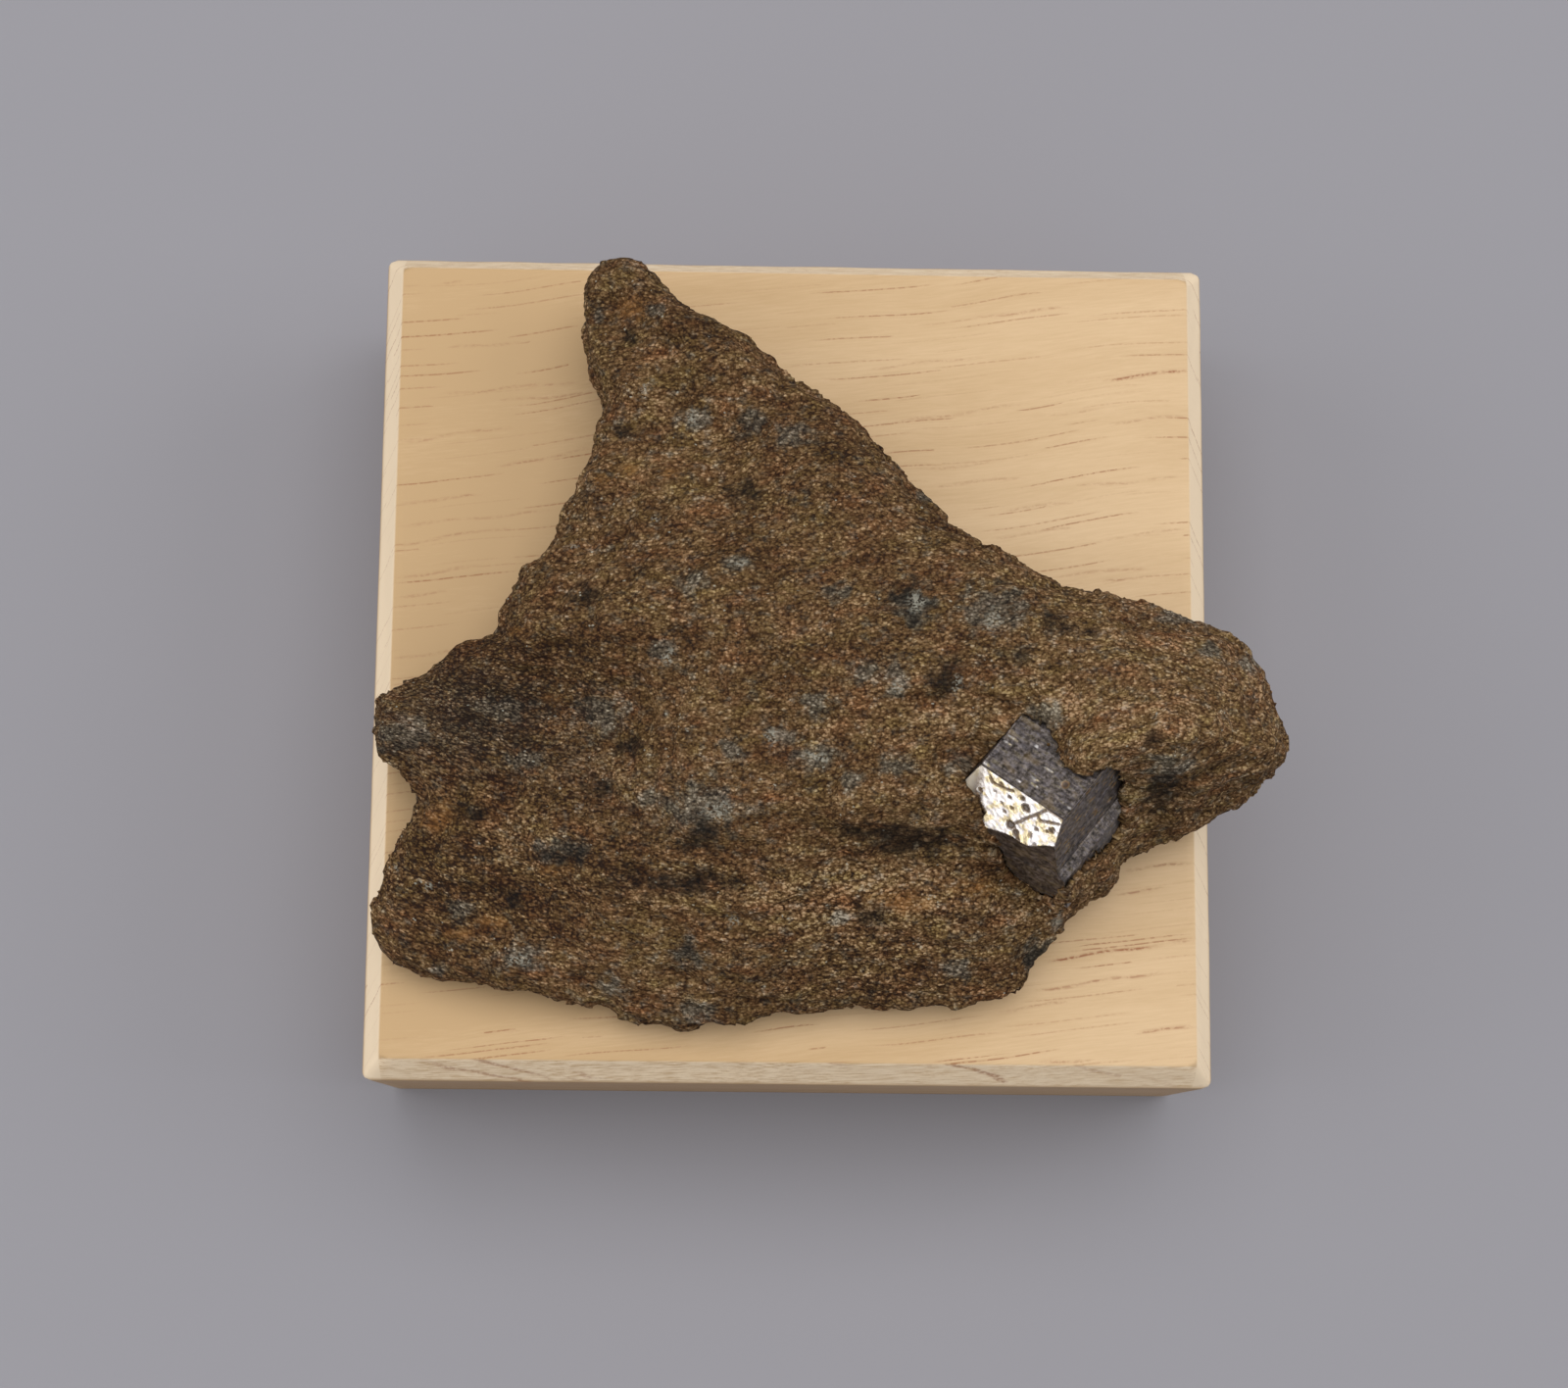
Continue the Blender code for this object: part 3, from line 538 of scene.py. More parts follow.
for index, (along_x, along_y, layer) in enumerate(lie):
    lump = noise.noise(Vector((along_x / 3.4, along_y / 2.2, layer / 1.6)))
    grain = noise.noise(Vector((along_x / 1.05, along_y / 0.7, layer / 0.6)))
    level = layer / LAYER_THICKNESS + 0.9 * noise.noise(
        Vector((along_x / 7.0, along_y / 4.0, layer / 3.0))
    )
    within = level - math.floor(level)
    step = abs(2.0 * within - 1.0) ** 0.5 - 0.66
    ridge = noise.noise(Vector((along_x / 5.0, along_y / 0.9, layer / 0.35)))
    chip = noise.cell(Vector((
        along_x / 2.1 + 0.7 * lump, along_y / 1.7 + 0.5 * grain, level
    )))
    grain_relief[index] = (
        0.26 * lump + 0.20 * grain + 0.13 * ridge
        + steep[index] * (0.30 * chip - 0.28 * step)
    )
calm = 1.0 - 0.35 * grey
push = (grain_relief * calm - 0.11 - 0.05 * steep - 0.08 * dark_and_ledge_shade) * free
points += normals * push[:, None]

# The rock holds the crystal without a gap: its socket closes up to the crystal's faces.
crystal_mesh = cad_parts["cobaltite_crystal"].data
faces = crystal_mesh.polygons
face_normals = numpy.array([tuple(face.normal) for face in faces])
face_levels = numpy.array([face.normal.dot(face.center) for face in faces]) / MM
from_socket = numpy.linalg.norm(points - SOCKET_MIDDLE, axis=1)
near = numpy.nonzero(from_socket < SOCKET_SPAN)[0]
# It stands a little lower at the foot of the crystal's front face and at its left tip.
beyond = points[near] @ face_normals.T - face_levels
at_foot = face_normals[beyond.argmax(axis=1)] @ FOOT_TOWARDS > 0.97
foot_drop = FOOT_DROP * at_foot * (1.0 - smooth_step(0.6, 2.8, numpy.abs(beyond.max(axis=1))))
away = numpy.linalg.norm(points[near] - TIP_PLACE, axis=1)
points[near, 2] -= foot_drop + TIP_DROP * (1.0 - smooth_step(0.8, 2.6, away))
beyond = points[near] @ face_normals.T - face_levels
nearest_face = beyond.argmax(axis=1)
outside = beyond.max(axis=1)
closing = numpy.clip(outside - SOCKET_GAP, 0.0, SOCKET_REACH)
closing *= 1.0 - smooth_step(SOCKET_REACH, 3.2 * SOCKET_REACH, outside)
facing = (normals[near] * face_normals[nearest_face]).sum(axis=1)
closing *= 1.0 - smooth_step(-0.35, 0.3, facing)
points[near] -= face_normals[nearest_face] * closing[:, None]
# Where it would lie on a face as a thin film, it has broken away.
film = (facing > 0.3) & (outside > -0.8) & (outside < FILM_THICKNESS)
points[near] -= face_normals[nearest_face] * (film * (outside + FILM_THICKNESS))[:, None]
sunk = numpy.where(free < 1.0, (1.0 - free) * (CAD_GAP - 0.03), 0.0)
points[:, 2] -= sunk
low, high = numpy.array(cad_low) / MM, numpy.array(cad_high) / MM
points = numpy.clip(points, low + 0.02, high - 0.02)
# The horn's tip is broken off nearly straight.
past_break = numpy.clip(points[:, 1] - HORN_BREAK, 0.0, None)
points[:, 1] -= (1.0 - HORN_SQUASH) * past_break
write_points(schist_rock.data, points)
for name, values in (
    ("grey", grey), ("dark_and_ledge_shade", dark_and_ledge_shade), ("pale", pale), ("ochre", ochre), ("tone", tone),
    ("contrast", contrast), ("streaky", streaky), ("relief", grain_relief), ("lie", lie),
):
    add_attribute(schist_rock.data, name, values)
bpy.ops.object.shade_smooth()

# Mica schist stained by rust: broken, not cut, so it is matt with grains of quartz, feldspar,
# dark mica and ochre about 0.4 mm wide, longer at the lower left, and with grey-green patches.
GRAIN_COLOURS = [
    (0.0, "#241204"), (0.15, "#34210C"), (0.32, "#453017"), (0.5, "#584228"),
    (0.68, "#6D563B"), (0.83, "#826B4F"), (0.94, "#957D61"), (1.0, "#AE977B"),
]
GREY_COLOURS = [
    (0.0, "#1C1914"), (0.3, "#36332B"), (0.6, "#585449"), (0.85, "#7E796D"), (1.0, "#A9A496"),
]
rusty_schist = bpy.data.materials.new("broken_rusty_mica_schist")
rusty_schist.use_nodes = True
tree = rusty_schist.node_tree
surface = tree.nodes["Principled BSDF"]
surface.inputs["IOR"].default_value = 1.5
surface.inputs["Specular IOR Level"].default_value = 0.2
layer_place = add_node(tree, "ShaderNodeAttribute", {"attribute_name": "lie"}).outputs["Vector"]
# Grains 0.42 mm long and 0.28 mm wide, finer ones between them, and ones 0.9 mm long at the
# lower left
grain_scale = add_node(
    tree, "ShaderNodeMapping", {"Scale": (2.4, 3.5, 3.5)}, {"Vector": layer_place}
)
grain_cells = add_node(tree, "ShaderNodeTexVoronoi", {"Scale": 1.0}, {"Vector": grain_scale})
fine_scale = add_node(
    tree, "ShaderNodeMapping", {"Scale": (4.4, 5.8, 5.8)}, {"Vector": layer_place}
)
fine_cells = add_node(tree, "ShaderNodeTexVoronoi", {"Scale": 1.0}, {"Vector": fine_scale})
long_scale = add_node(
    tree, "ShaderNodeMapping", {"Scale": (1.1, 4.0, 4.0)}, {"Vector": layer_place}
)
long_cells = add_node(tree, "ShaderNodeTexVoronoi", {"Scale": 1.0}, {"Vector": long_scale})
grain_pick = add_node(
    tree, "ShaderNodeSeparateColor", links={"Color": grain_cells.outputs["Color"]}
)
fine_pick = add_node(tree, "ShaderNodeSeparateColor", links={"Color": fine_cells.outputs["Color"]})
long_pick = add_node(tree, "ShaderNodeSeparateColor", links={"Color": long_cells.outputs["Color"]})
streaky_value = add_node(tree, "ShaderNodeAttribute", {"attribute_name": "streaky"}).outputs["Fac"]
long_share = add_node(
    tree, "ShaderNodeMath", {"operation": "MULTIPLY_ADD", 1: 0.55, 2: 0.15}, {0: streaky_value}
)
coarse_pick = add_node(
    tree, "ShaderNodeMix", {"data_type": "FLOAT"},
    {0: long_share, 2: grain_pick.outputs["Red"], 3: long_pick.outputs["Red"]},
)
grain_mix = add_node(
    tree, "ShaderNodeMix", {"data_type": "FLOAT", 0: 0.48},
    {2: coarse_pick, 3: fine_pick.outputs["Red"]},
)
# Layers and clouds shift the mix of grains from place to place.
cloud_scale = add_node(
    tree, "ShaderNodeMapping", {"Scale": (0.13, 0.26, 0.5)}, {"Vector": layer_place}
)
cloud = add_node(
    tree, "ShaderNodeTexNoise", {"Scale": 1.0, "Detail": 4.0, "Roughness": 0.6},
    {"Vector": cloud_scale},
)
streak_scale = add_node(
    tree, "ShaderNodeMapping", {"Scale": (0.4, 1.1, 1.6)}, {"Vector": layer_place}
)
streak = add_node(
    tree, "ShaderNodeTexNoise", {"Scale": 1.0, "Detail": 3.0, "Roughness": 0.6},
    {"Vector": streak_scale},
)
cloud_shift = add_node(
    tree, "ShaderNodeMapRange",
    {"From Min": 0.3, "From Max": 0.7, "To Min": -0.49, "To Max": -0.23},
    {"Value": cloud},
)
streak_shift = add_node(
    tree, "ShaderNodeMapRange",
    {"From Min": 0.3, "From Max": 0.7, "To Min": -0.09, "To Max": 0.09},
    {"Value": streak},
)
# Low places are painted darker and raised ones lighter: painted shade in the hollows and painted
# light on the rises.
relief_value = add_node(tree, "ShaderNodeAttribute", {"attribute_name": "relief"}).outputs["Fac"]
hollow_shade_shift = add_node(
    tree, "ShaderNodeMapRange",
    {"From Min": -0.3, "From Max": 0.25, "To Min": -0.12, "To Max": 0.10},
    {"Value": relief_value},
)
pick_clouded = add_node(
    tree, "ShaderNodeMath", {"operation": "ADD"}, {0: grain_mix, 1: cloud_shift}
)
pick_streaked = add_node(
    tree, "ShaderNodeMath", {"operation": "ADD"}, {0: pick_clouded, 1: streak_shift}
)
pick_raised = add_node(
    tree, "ShaderNodeMath", {"operation": "ADD"}, {0: pick_streaked, 1: hollow_shade_shift}
)
between_grains = add_node(
    tree, "ShaderNodeMapRange",
    {"From Min": 0.42, "From Max": 0.80, "To Max": -0.36},
    {"Value": grain_cells.outputs["Distance"]},
)
from_middle = add_node(
    tree, "ShaderNodeMath", {"operation": "ADD"}, {0: pick_raised, 1: between_grains}
)
tone_and_shade_value = add_node(tree, "ShaderNodeAttribute", {"attribute_name": "tone"}).outputs["Fac"]
contrast_value = add_node(
    tree, "ShaderNodeAttribute", {"attribute_name": "contrast"}
).outputs["Fac"]
pick_final = add_node(
    tree, "ShaderNodeMath", {"operation": "MULTIPLY_ADD"},
    {0: from_middle, 1: contrast_value, 2: tone_and_shade_value},
)
brown_grains = add_node(tree, "ShaderNodeValToRGB", links={"Fac": pick_final}, stops=GRAIN_COLOURS)
grey_grains = add_node(tree, "ShaderNodeValToRGB", links={"Fac": pick_final}, stops=GREY_COLOURS)
# The stain turns from yellow ochre to red rust over 2 to 5 mm.
rust_scale = add_node(
    tree, "ShaderNodeMapping", {"Scale": (0.22, 0.42, 0.5)}, {"Vector": layer_place}
)
rust_cloud = add_node(
    tree, "ShaderNodeTexNoise", {"Scale": 1.0, "Detail": 4.0, "Roughness": 0.7},
    {"Vector": rust_scale},
)
stain = add_node(
    tree, "ShaderNodeValToRGB", links={"Fac": rust_cloud},
    stops=[(0.34, "#F4F0C8"), (0.47, "#FFF6E2"), (0.56, "#FFEEDC"), (0.70, "#FFD8B8")],
)
stained = add_node(
    tree, "ShaderNodeMix", {"data_type": "RGBA", "blend_type": "MULTIPLY", 0: 1.0},
    {6: brown_grains, 7: stain},
)
ochre_value = add_node(tree, "ShaderNodeAttribute", {"attribute_name": "ochre"}).outputs["Fac"]
ochre_share = add_node(
    tree, "ShaderNodeMath", {"operation": "MULTIPLY"}, {0: ochre_value, 1: coarse_pick}
)
rusted = add_node(
    tree, "ShaderNodeMix", {"data_type": "RGBA", 7: linear("#9C6A35")},
    {"Factor": ochre_share, 6: stained.outputs[2]},
)
# Grey patches have ragged, grainy edges, and lone grey grains lie between them.
grey_value = add_node(tree, "ShaderNodeAttribute", {"attribute_name": "grey"}).outputs["Fac"]
grey_ragged = add_node(
    tree, "ShaderNodeMath", {"operation": "MULTIPLY_ADD", 1: 0.45},
    {0: grain_pick.outputs["Green"], 2: grey_value},
)
grey_patch = add_node(
    tree, "ShaderNodeMapRange", {"From Min": 0.40, "From Max": 1.15, "To Max": 0.68},
    {"Value": grey_ragged},
)
scatter_scale = add_node(
    tree, "ShaderNodeMapping", {"Scale": (0.8, 1.1, 1.1)}, {"Vector": layer_place}
)
scatter = add_node(
    tree, "ShaderNodeTexNoise", {"Scale": 1.0, "Detail": 3.0, "Roughness": 0.65},
    {"Vector": scatter_scale},
)
scatter_share = add_node(
    tree, "ShaderNodeMapRange", {"From Min": 0.52, "From Max": 0.72, "To Max": 0.6},
    {"Value": scatter},
)
grey_share = add_node(
    tree, "ShaderNodeMath", {"operation": "MAXIMUM"}, {0: grey_patch, 1: scatter_share}
)
greyed = add_node(
    tree, "ShaderNodeMix", {"data_type": "RGBA"},
    {"Factor": grey_share, 6: rusted.outputs[2], 7: grey_grains},
)
# The dark spots and the painted shade under the ledges darken the colour.
dark_and_shade_value = add_node(tree, "ShaderNodeAttribute", {"attribute_name": "dark_and_ledge_shade"}).outputs["Fac"]
darkened_and_shaded = add_node(
    tree, "ShaderNodeMix",
    {"data_type": "RGBA", "blend_type": "MULTIPLY", 7: linear("#878582")},
    {"Factor": dark_and_shade_value, 6: greyed.outputs[2]},
)
pale_value = add_node(tree, "ShaderNodeAttribute", {"attribute_name": "pale"}).outputs["Fac"]
pale_grain = add_node(
    tree, "ShaderNodeMapRange", {"From Min": 0.45, "From Max": 0.75, "To Max": 0.6},
    {"Value": fine_pick.outputs["Green"]},
)
pale_share = add_node(
    tree, "ShaderNodeMath", {"operation": "MULTIPLY"}, {0: pale_value, 1: pale_grain}
)
# Lone pale specks: painted glints of mica flakes.
painted_glint = add_node(
    tree, "ShaderNodeMapRange", {"From Min": 0.9985, "From Max": 0.9992, "To Max": 0.6},
    {"Value": fine_pick.outputs["Blue"]},
)
pale_and_glint = add_node(tree, "ShaderNodeMath", {"operation": "MAXIMUM"}, {0: pale_share, 1: painted_glint})
schist_colour = add_node(
    tree, "ShaderNodeMix", {"data_type": "RGBA", 7: linear("#B0AC9C")},
    {"Factor": pale_and_glint, 6: darkened_and_shaded.outputs[2]},
)
tree.links.new(schist_colour.outputs[2], surface.inputs["Base Color"])
# Each grain stands at its own height, and mica flakes glint a little.
grain_height = add_node(
    tree, "ShaderNodeMath", {"operation": "MULTIPLY_ADD", 1: 0.6},
    {0: fine_pick.outputs["Blue"], 2: grain_pick.outputs["Blue"]},
)
hollow = add_node(
    tree, "ShaderNodeMath", {"operation": "MULTIPLY_ADD", 1: -1.1},
    {0: grain_cells.outputs["Distance"], 2: grain_height},
)
grain_bump = add_node(
    tree, "ShaderNodeBump", {"Strength": 0.8, "Distance": 0.00012}, {"Height": hollow}
)
tree.links.new(grain_bump.outputs["Normal"], surface.inputs["Normal"])
flake = add_node(
    tree, "ShaderNodeMapRange",
    {"From Min": 0.955, "From Max": 0.97, "To Min": 0.8, "To Max": 0.42},
    {"Value": fine_pick.outputs["Green"]},
)
tree.links.new(flake.outputs["Result"], surface.inputs["Roughness"])
schist_rock.data.materials.clear()
schist_rock.data.materials.append(rusty_schist)
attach(schist_rock, "root")
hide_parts("matrix_rock")


# Crystal. The real one is a blocky crystal of cobaltite, a cobalt sulfide with a metal's shine,
# about 12 mm across, grown in the rock. One face is fresh and silver, the others are tarnished,
# and fine growth lines run along them.
CRYSTAL_CORNER = numpy.array((25.0, -21.4, 55.5))
RIGHT = numpy.array((0.739, -0.563, 0.369))
UP = numpy.array((-0.257, 0.271, 0.928))
RIGHT = RIGHT / numpy.linalg.norm(RIGHT)
BACK = numpy.cross(UP, RIGHT)
BACK = BACK / numpy.linalg.norm(BACK)
UP = numpy.cross(RIGHT, BACK)
SILVER_NORMAL = -0.799 * BACK + 0.602 * UP
SILVER_DOWN = -0.602 * BACK - 0.799 * UP
FRONT_NORMAL = 0.175 * RIGHT - 0.972 * BACK + 0.155 * UP
LINE_SPACING = 0.14
SILVER_TOP = 2.14
FRONT_TOP = 2.84
# The lower edge of the silver face bows out by this much, at this place along it
EDGE_BOW = 0.80
BOW_PLACE = -3.0
# Pits in the silver face: place along it, place down it, radius and depth of rust
SILVER_PITS = [
    (-9.9, 2.8, 0.20, 0.6), (-4.4, 1.5, 0.36, 1.0), (-5.0, 0.7, 0.18, 0.8),
    (-5.45, 4.4, 0.40, 0.95), (-4.7, 4.75, 0.26, 0.8), (-4.2, 5.1, 0.20, 0.7),
    (-1.0, 2.15, 0.22, 0.8), (-0.8, 1.8, 0.14, 0.7), (-1.35, 2.45, 0.14, 0.7),
    (-6.5, 1.5, 0.16, 0.7), (-7.8, 0.75, 0.20, 0.45), (-8.3, 1.9, 0.12, 0.4),
    (-2.6, 3.0, 0.16, 0.5), (-5.9, 2.5, 0.15, 0.5), (-7.2, 2.7, 0.13, 0.4),
    (-3.1, 3.9, 0.18, 0.4), (-6.6, 3.4, 0.16, 0.5), (-2.3, 4.3, 0.2, 0.35),
]
# Cracks across it, each as a run of places along and down it
SILVER_CRACKS = [
    [(-9.2, 0.7), (-8.7, 1.15), (-7.1, 0.9), (-6.35, 0.6)],
    [(-2.0, 0.05), (-3.1, 1.5), (-4.0, 2.55), (-4.6, 3.4), (-5.25, 4.2)],
    [(-2.0, 0.1), (-0.55, 0.05), (0.0, 0.3)],
    [(-3.05, 1.5), (-2.35, 1.8), (-1.2, 1.25), (-0.4, 0.9)],
]
# Bright steps on the top face: place along it, place across it and half length
TOP_STEPS = [
    (-9.75, 6.3, 0.6), (-9.9, 5.6, 0.45), (-10.2, 2.55, 0.45), (-4.6, 5.55, 0.55),
    (-5.2, 4.0, 0.5), (-4.8, 3.45, 0.45), (-0.25, 3.5, 0.35), (-7.2, 6.9, 0.25),
    (-6.4, 2.9, 0.25),
]

cobaltite = bpy.data.objects.new("silver_cobaltite", crystal_mesh.copy())
bpy.context.scene.collection.objects.link(cobaltite)
clear_selection()
cobaltite.select_set(True)
bpy.context.view_layer.objects.active = cobaltite
bpy.ops.object.mode_set(mode="EDIT")
bpy.ops.mesh.select_all(action="SELECT")
bpy.ops.mesh.remove_doubles(threshold=0.000001)
bpy.ops.mesh.dissolve_limited(angle_limit=math.radians(1.0))
bpy.ops.mesh.select_all(action="SELECT")
bpy.ops.mesh.bevel(offset=0.08 * MM, segments=2, affect="EDGES")
bpy.ops.object.mode_set(mode="OBJECT")
shape = bmesh.new()
shape.from_mesh(cobaltite.data)
for direction, first, last in ((RIGHT, -12.1, 0.9), (BACK, -2.4, 11.0), (UP, -12.0, 0.0)):
    for count in range(int((last - first) / LINE_SPACING)):
        level = CRYSTAL_CORNER + direction * (first + count * LINE_SPACING)
        bmesh.ops.bisect_plane(
            shape, geom=shape.verts[:] + shape.edges[:] + shape.faces[:],
            plane_co=Vector(level) * MM, plane_no=Vector(direction), dist=0.000002,
        )
bmesh.ops.triangulate(shape, faces=shape.faces[:])
shape.to_mesh(cobaltite.data)
shape.free()

points = read_vectors(cobaltite.data, "co") / MM
normals = read_vectors(cobaltite.data, "normal")
local = points - CRYSTAL_CORNER
a, b, c = local @ RIGHT, local @ BACK, local @ UP
down = -0.602 * (b - SILVER_TOP) - 0.799 * c
on_top = smooth_step(0.93, 0.995, normals @ UP)
on_right = smooth_step(0.93, 0.995, normals @ RIGHT)
on_silver = smooth_step(0.93, 0.995, normals @ SILVER_NORMAL)
on_front = smooth_step(0.93, 0.995, normals @ FRONT_NORMAL)

# The silver face's lower edge is a shallow curve, which bulges the front face under it.
from_edge = down - (3.555 - 0.379 * a)
inside_front = 0.175 * a - 0.972 * b + 0.155 * (c + FRONT_TOP)
inside_silver = -0.799 * (b - SILVER_TOP) + 0.602 * c
bow = EDGE_BOW * numpy.exp(-((a - BOW_PLACE) / 1.6) ** 2)
bow *= smooth_step(-1.2, 0.0, from_edge) * (1.0 - smooth_step(0.2, 2.4, from_edge))
bow *= smooth_step(-0.35, -0.15, numpy.maximum(inside_front, inside_silver))
points += SILVER_DOWN * bow[:, None]

pits = numpy.zeros(len(points))
for along_face, down_face, radius, depth in SILVER_PITS:
    away = numpy.hypot((a - along_face) * 0.9, down - down_face)
    for index in numpy.nonzero(away < 2.0 * radius)[0]:
        ragged = 0.35 * noise.noise(Vector((a[index], down[index], along_face)) * 3.0)
        share = depth * (1.0 - smooth_step(0.6, 1.5, away[index] / radius + ragged))
        pits[index] = max(pits[index], share)
for run in SILVER_CRACKS:
    for (a_from, down_from), (a_to, down_to) in zip(run, run[1:]):
        step_a, step_down = a_to - a_from, down_to - down_from
        length = math.hypot(step_a, step_down)
        share = ((a - a_from) * step_a + (down - down_from) * step_down) / length ** 2
        share = numpy.clip(share, 0.0, 1.0)
        away = numpy.hypot(a - a_from - share * step_a, down - down_from - share * step_down)
        pits = numpy.maximum(pits, 0.75 * numpy.exp(-(away / 0.10) ** 2))
pits *= on_silver
bright = numpy.zeros(len(points))
for along_face, across_face, half_length in TOP_STEPS:
    away = numpy.hypot((a - along_face) / half_length, (b - across_face) / 0.10)
    bright = numpy.maximum(bright, 1.0 - smooth_step(0.7, 1.3, away))
bright *= on_top
clean_strip = on_right * smooth_step(-0.3, 1.2, 0.305 * b - 10.86 - c)

rust = pits.copy()
inward = numpy.zeros(len(points))
for index in range(len(points)):
    x, y, z = a[index], b[index], c[index]
    growth_top = noise.noise(Vector((x / 6.0, y / 0.45, 0.3)))
    step_top = math.tanh(5.0 * noise.noise(Vector((x / 5.0, y / 1.3, 4.1)))) + 1.0
    growth_right = noise.noise(Vector((9.2, y / 5.0, z / 0.4)))
    step_right = math.tanh(5.0 * noise.noise(Vector((2.7, y / 4.0, z / 1.2)))) + 1.0
    growth_front = noise.noise(Vector((x / 4.0, 3.3, z / 0.6)))
    wave = noise.noise(Vector((x, y, z)) / 1.3)
    dent = noise.noise(Vector((x, y, z + 40.0)) / 0.42)
    dent_right = smooth_step(0.22, 0.5, noise.noise(Vector((7.0, y / 1.1, z / 0.35))))
    stain = smooth_step(0.0, 0.55, noise.noise(Vector((x / 1.6, y / 1.0, z / 1.0 + 9.0))))
    inward[index] = (
        on_top[index] * (0.03 * (growth_top + 1.0) + 0.04 * step_top + 0.045 * (dent + 1.0))
        + on_right[index] * (
            0.025 * (growth_right + 1.0) + 0.04 * step_right + 0.14 * dent_right
            + 0.05 * (dent + 1.0)
        )
        + on_front[index] * (
            0.03 * (growth_front + 1.0) + 0.05 * (wave + 1.0) + 0.04 * (dent + 1.0)
        )
        + on_silver[index] * 0.012 * (dent + wave + 2.0)
        + 0.16 * pits[index] - 0.05 * bright[index]
    )
    rust[index] = max(
        rust[index],
        0.13 * stain * (on_top[index] + on_front[index]) * (1.0 - bright[index]),
        0.5 * dent_right * on_right[index],
    )
# One rust spot on the top face, and a chipped spot where it meets the right face
for x, y, z, radius in ((-2.24, 5.25, 0.0, 0.4), (0.0, 6.1, -0.6, 0.35)):
    away = numpy.sqrt((a - x) ** 2 + (b - y) ** 2 + (c - z) ** 2)
    spot = 1.0 - smooth_step(0.5, 1.3, away / radius)
    rust = numpy.maximum(rust, 0.8 * spot)
    inward += 0.12 * spot
points -= normals * inward[:, None]
write_points(cobaltite.data, points)
fresh = numpy.maximum(on_silver, 0.9 * bright)
# Painted reflection at the bright face's left tip
tip_reflection = 0.78 * on_silver * smooth_step(9.7, 11.4, -a)
for name, values in (
    ("fresh", fresh), ("rust", rust), ("front", on_front), ("side", on_right), ("tip_reflection", tip_reflection),
    ("clean", clean_strip), ("own", numpy.column_stack((a, b, c))),
):
    add_attribute(cobaltite.data, name, values)
bpy.ops.object.shade_smooth_by_angle(angle=math.radians(20.0))

# Cobaltite, a metallic sulfide: grown faces, one still bright with an etched network, the others
# dulled by a grey-violet tarnish, with brown rust in the pits. Growth lines are 0.1 to 0.4 mm
# apart, and the network's meshes 0.5 mm.
silver_ore = bpy.data.materials.new("grown_cobaltite")
silver_ore.use_nodes = True
tree = silver_ore.node_tree
surface = tree.nodes["Principled BSDF"]
own_place = add_node(tree, "ShaderNodeAttribute", {"attribute_name": "own"}).outputs["Vector"]
fresh_value = add_node(tree, "ShaderNodeAttribute", {"attribute_name": "fresh"}).outputs["Fac"]
side_value = add_node(tree, "ShaderNodeAttribute", {"attribute_name": "side"}).outputs["Fac"]
top_scale = add_node(tree, "ShaderNodeMapping", {"Scale": (0.45, 2.6, 1.4)}, {"Vector": own_place})
side_scale = add_node(tree, "ShaderNodeMapping", {"Scale": (1.0, 0.45, 2.6)}, {"Vector": own_place})
line_place = add_node(
    tree, "ShaderNodeMix", {"data_type": "VECTOR"}, {0: side_value, 4: top_scale, 5: side_scale}
)
growth_lines = add_node(
    tree, "ShaderNodeTexNoise", {"Scale": 1.0, "Detail": 5.0, "Roughness": 0.7},
    {"Vector": line_place.outputs[1]},
)
tarnish_colour = add_node(
    tree, "ShaderNodeValToRGB", links={"Fac": growth_lines},
    stops=[
        (0.30, "#3C3739"), (0.45, "#665F61"), (0.55, "#837A78"),
        (0.66, "#786F58"), (0.80, "#B8AFA9"),
    ],
)
front_value = add_node(tree, "ShaderNodeAttribute", {"attribute_name": "front"}).outputs["Fac"]
mottle = add_node(
    tree, "ShaderNodeTexNoise", {"Scale": 1.7, "Detail": 4.0, "Roughness": 0.8},
    {"Vector": own_place},
)
mottle_colour = add_node(
    tree, "ShaderNodeValToRGB", links={"Fac": mottle},
    stops=[(0.38, "#665E4E"), (0.50, "#CFC9BF"), (0.60, "#FFFFFF")],
)
mottled = add_node(
    tree, "ShaderNodeMix", {"data_type": "RGBA", "blend_type": "MULTIPLY", 0: 1.0},
    {6: tarnish_colour, 7: mottle_colour},
)
dusty = add_node(
    tree, "ShaderNodeMix",
    {"data_type": "RGBA", "blend_type": "MULTIPLY", 7: linear("#FFF4E2")},
    {"Factor": front_value, 6: mottled.outputs[2]},
)
clean_value = add_node(tree, "ShaderNodeAttribute", {"attribute_name": "clean"}).outputs["Fac"]
clean_share = add_node(tree, "ShaderNodeMath", {"operation": "MULTIPLY", 1: 0.25}, {0: clean_value})
cleaned = add_node(
    tree, "ShaderNodeMix", {"data_type": "RGBA", 7: linear("#8E8A8A")},
    {"Factor": clean_share, 6: dusty.outputs[2]},
)
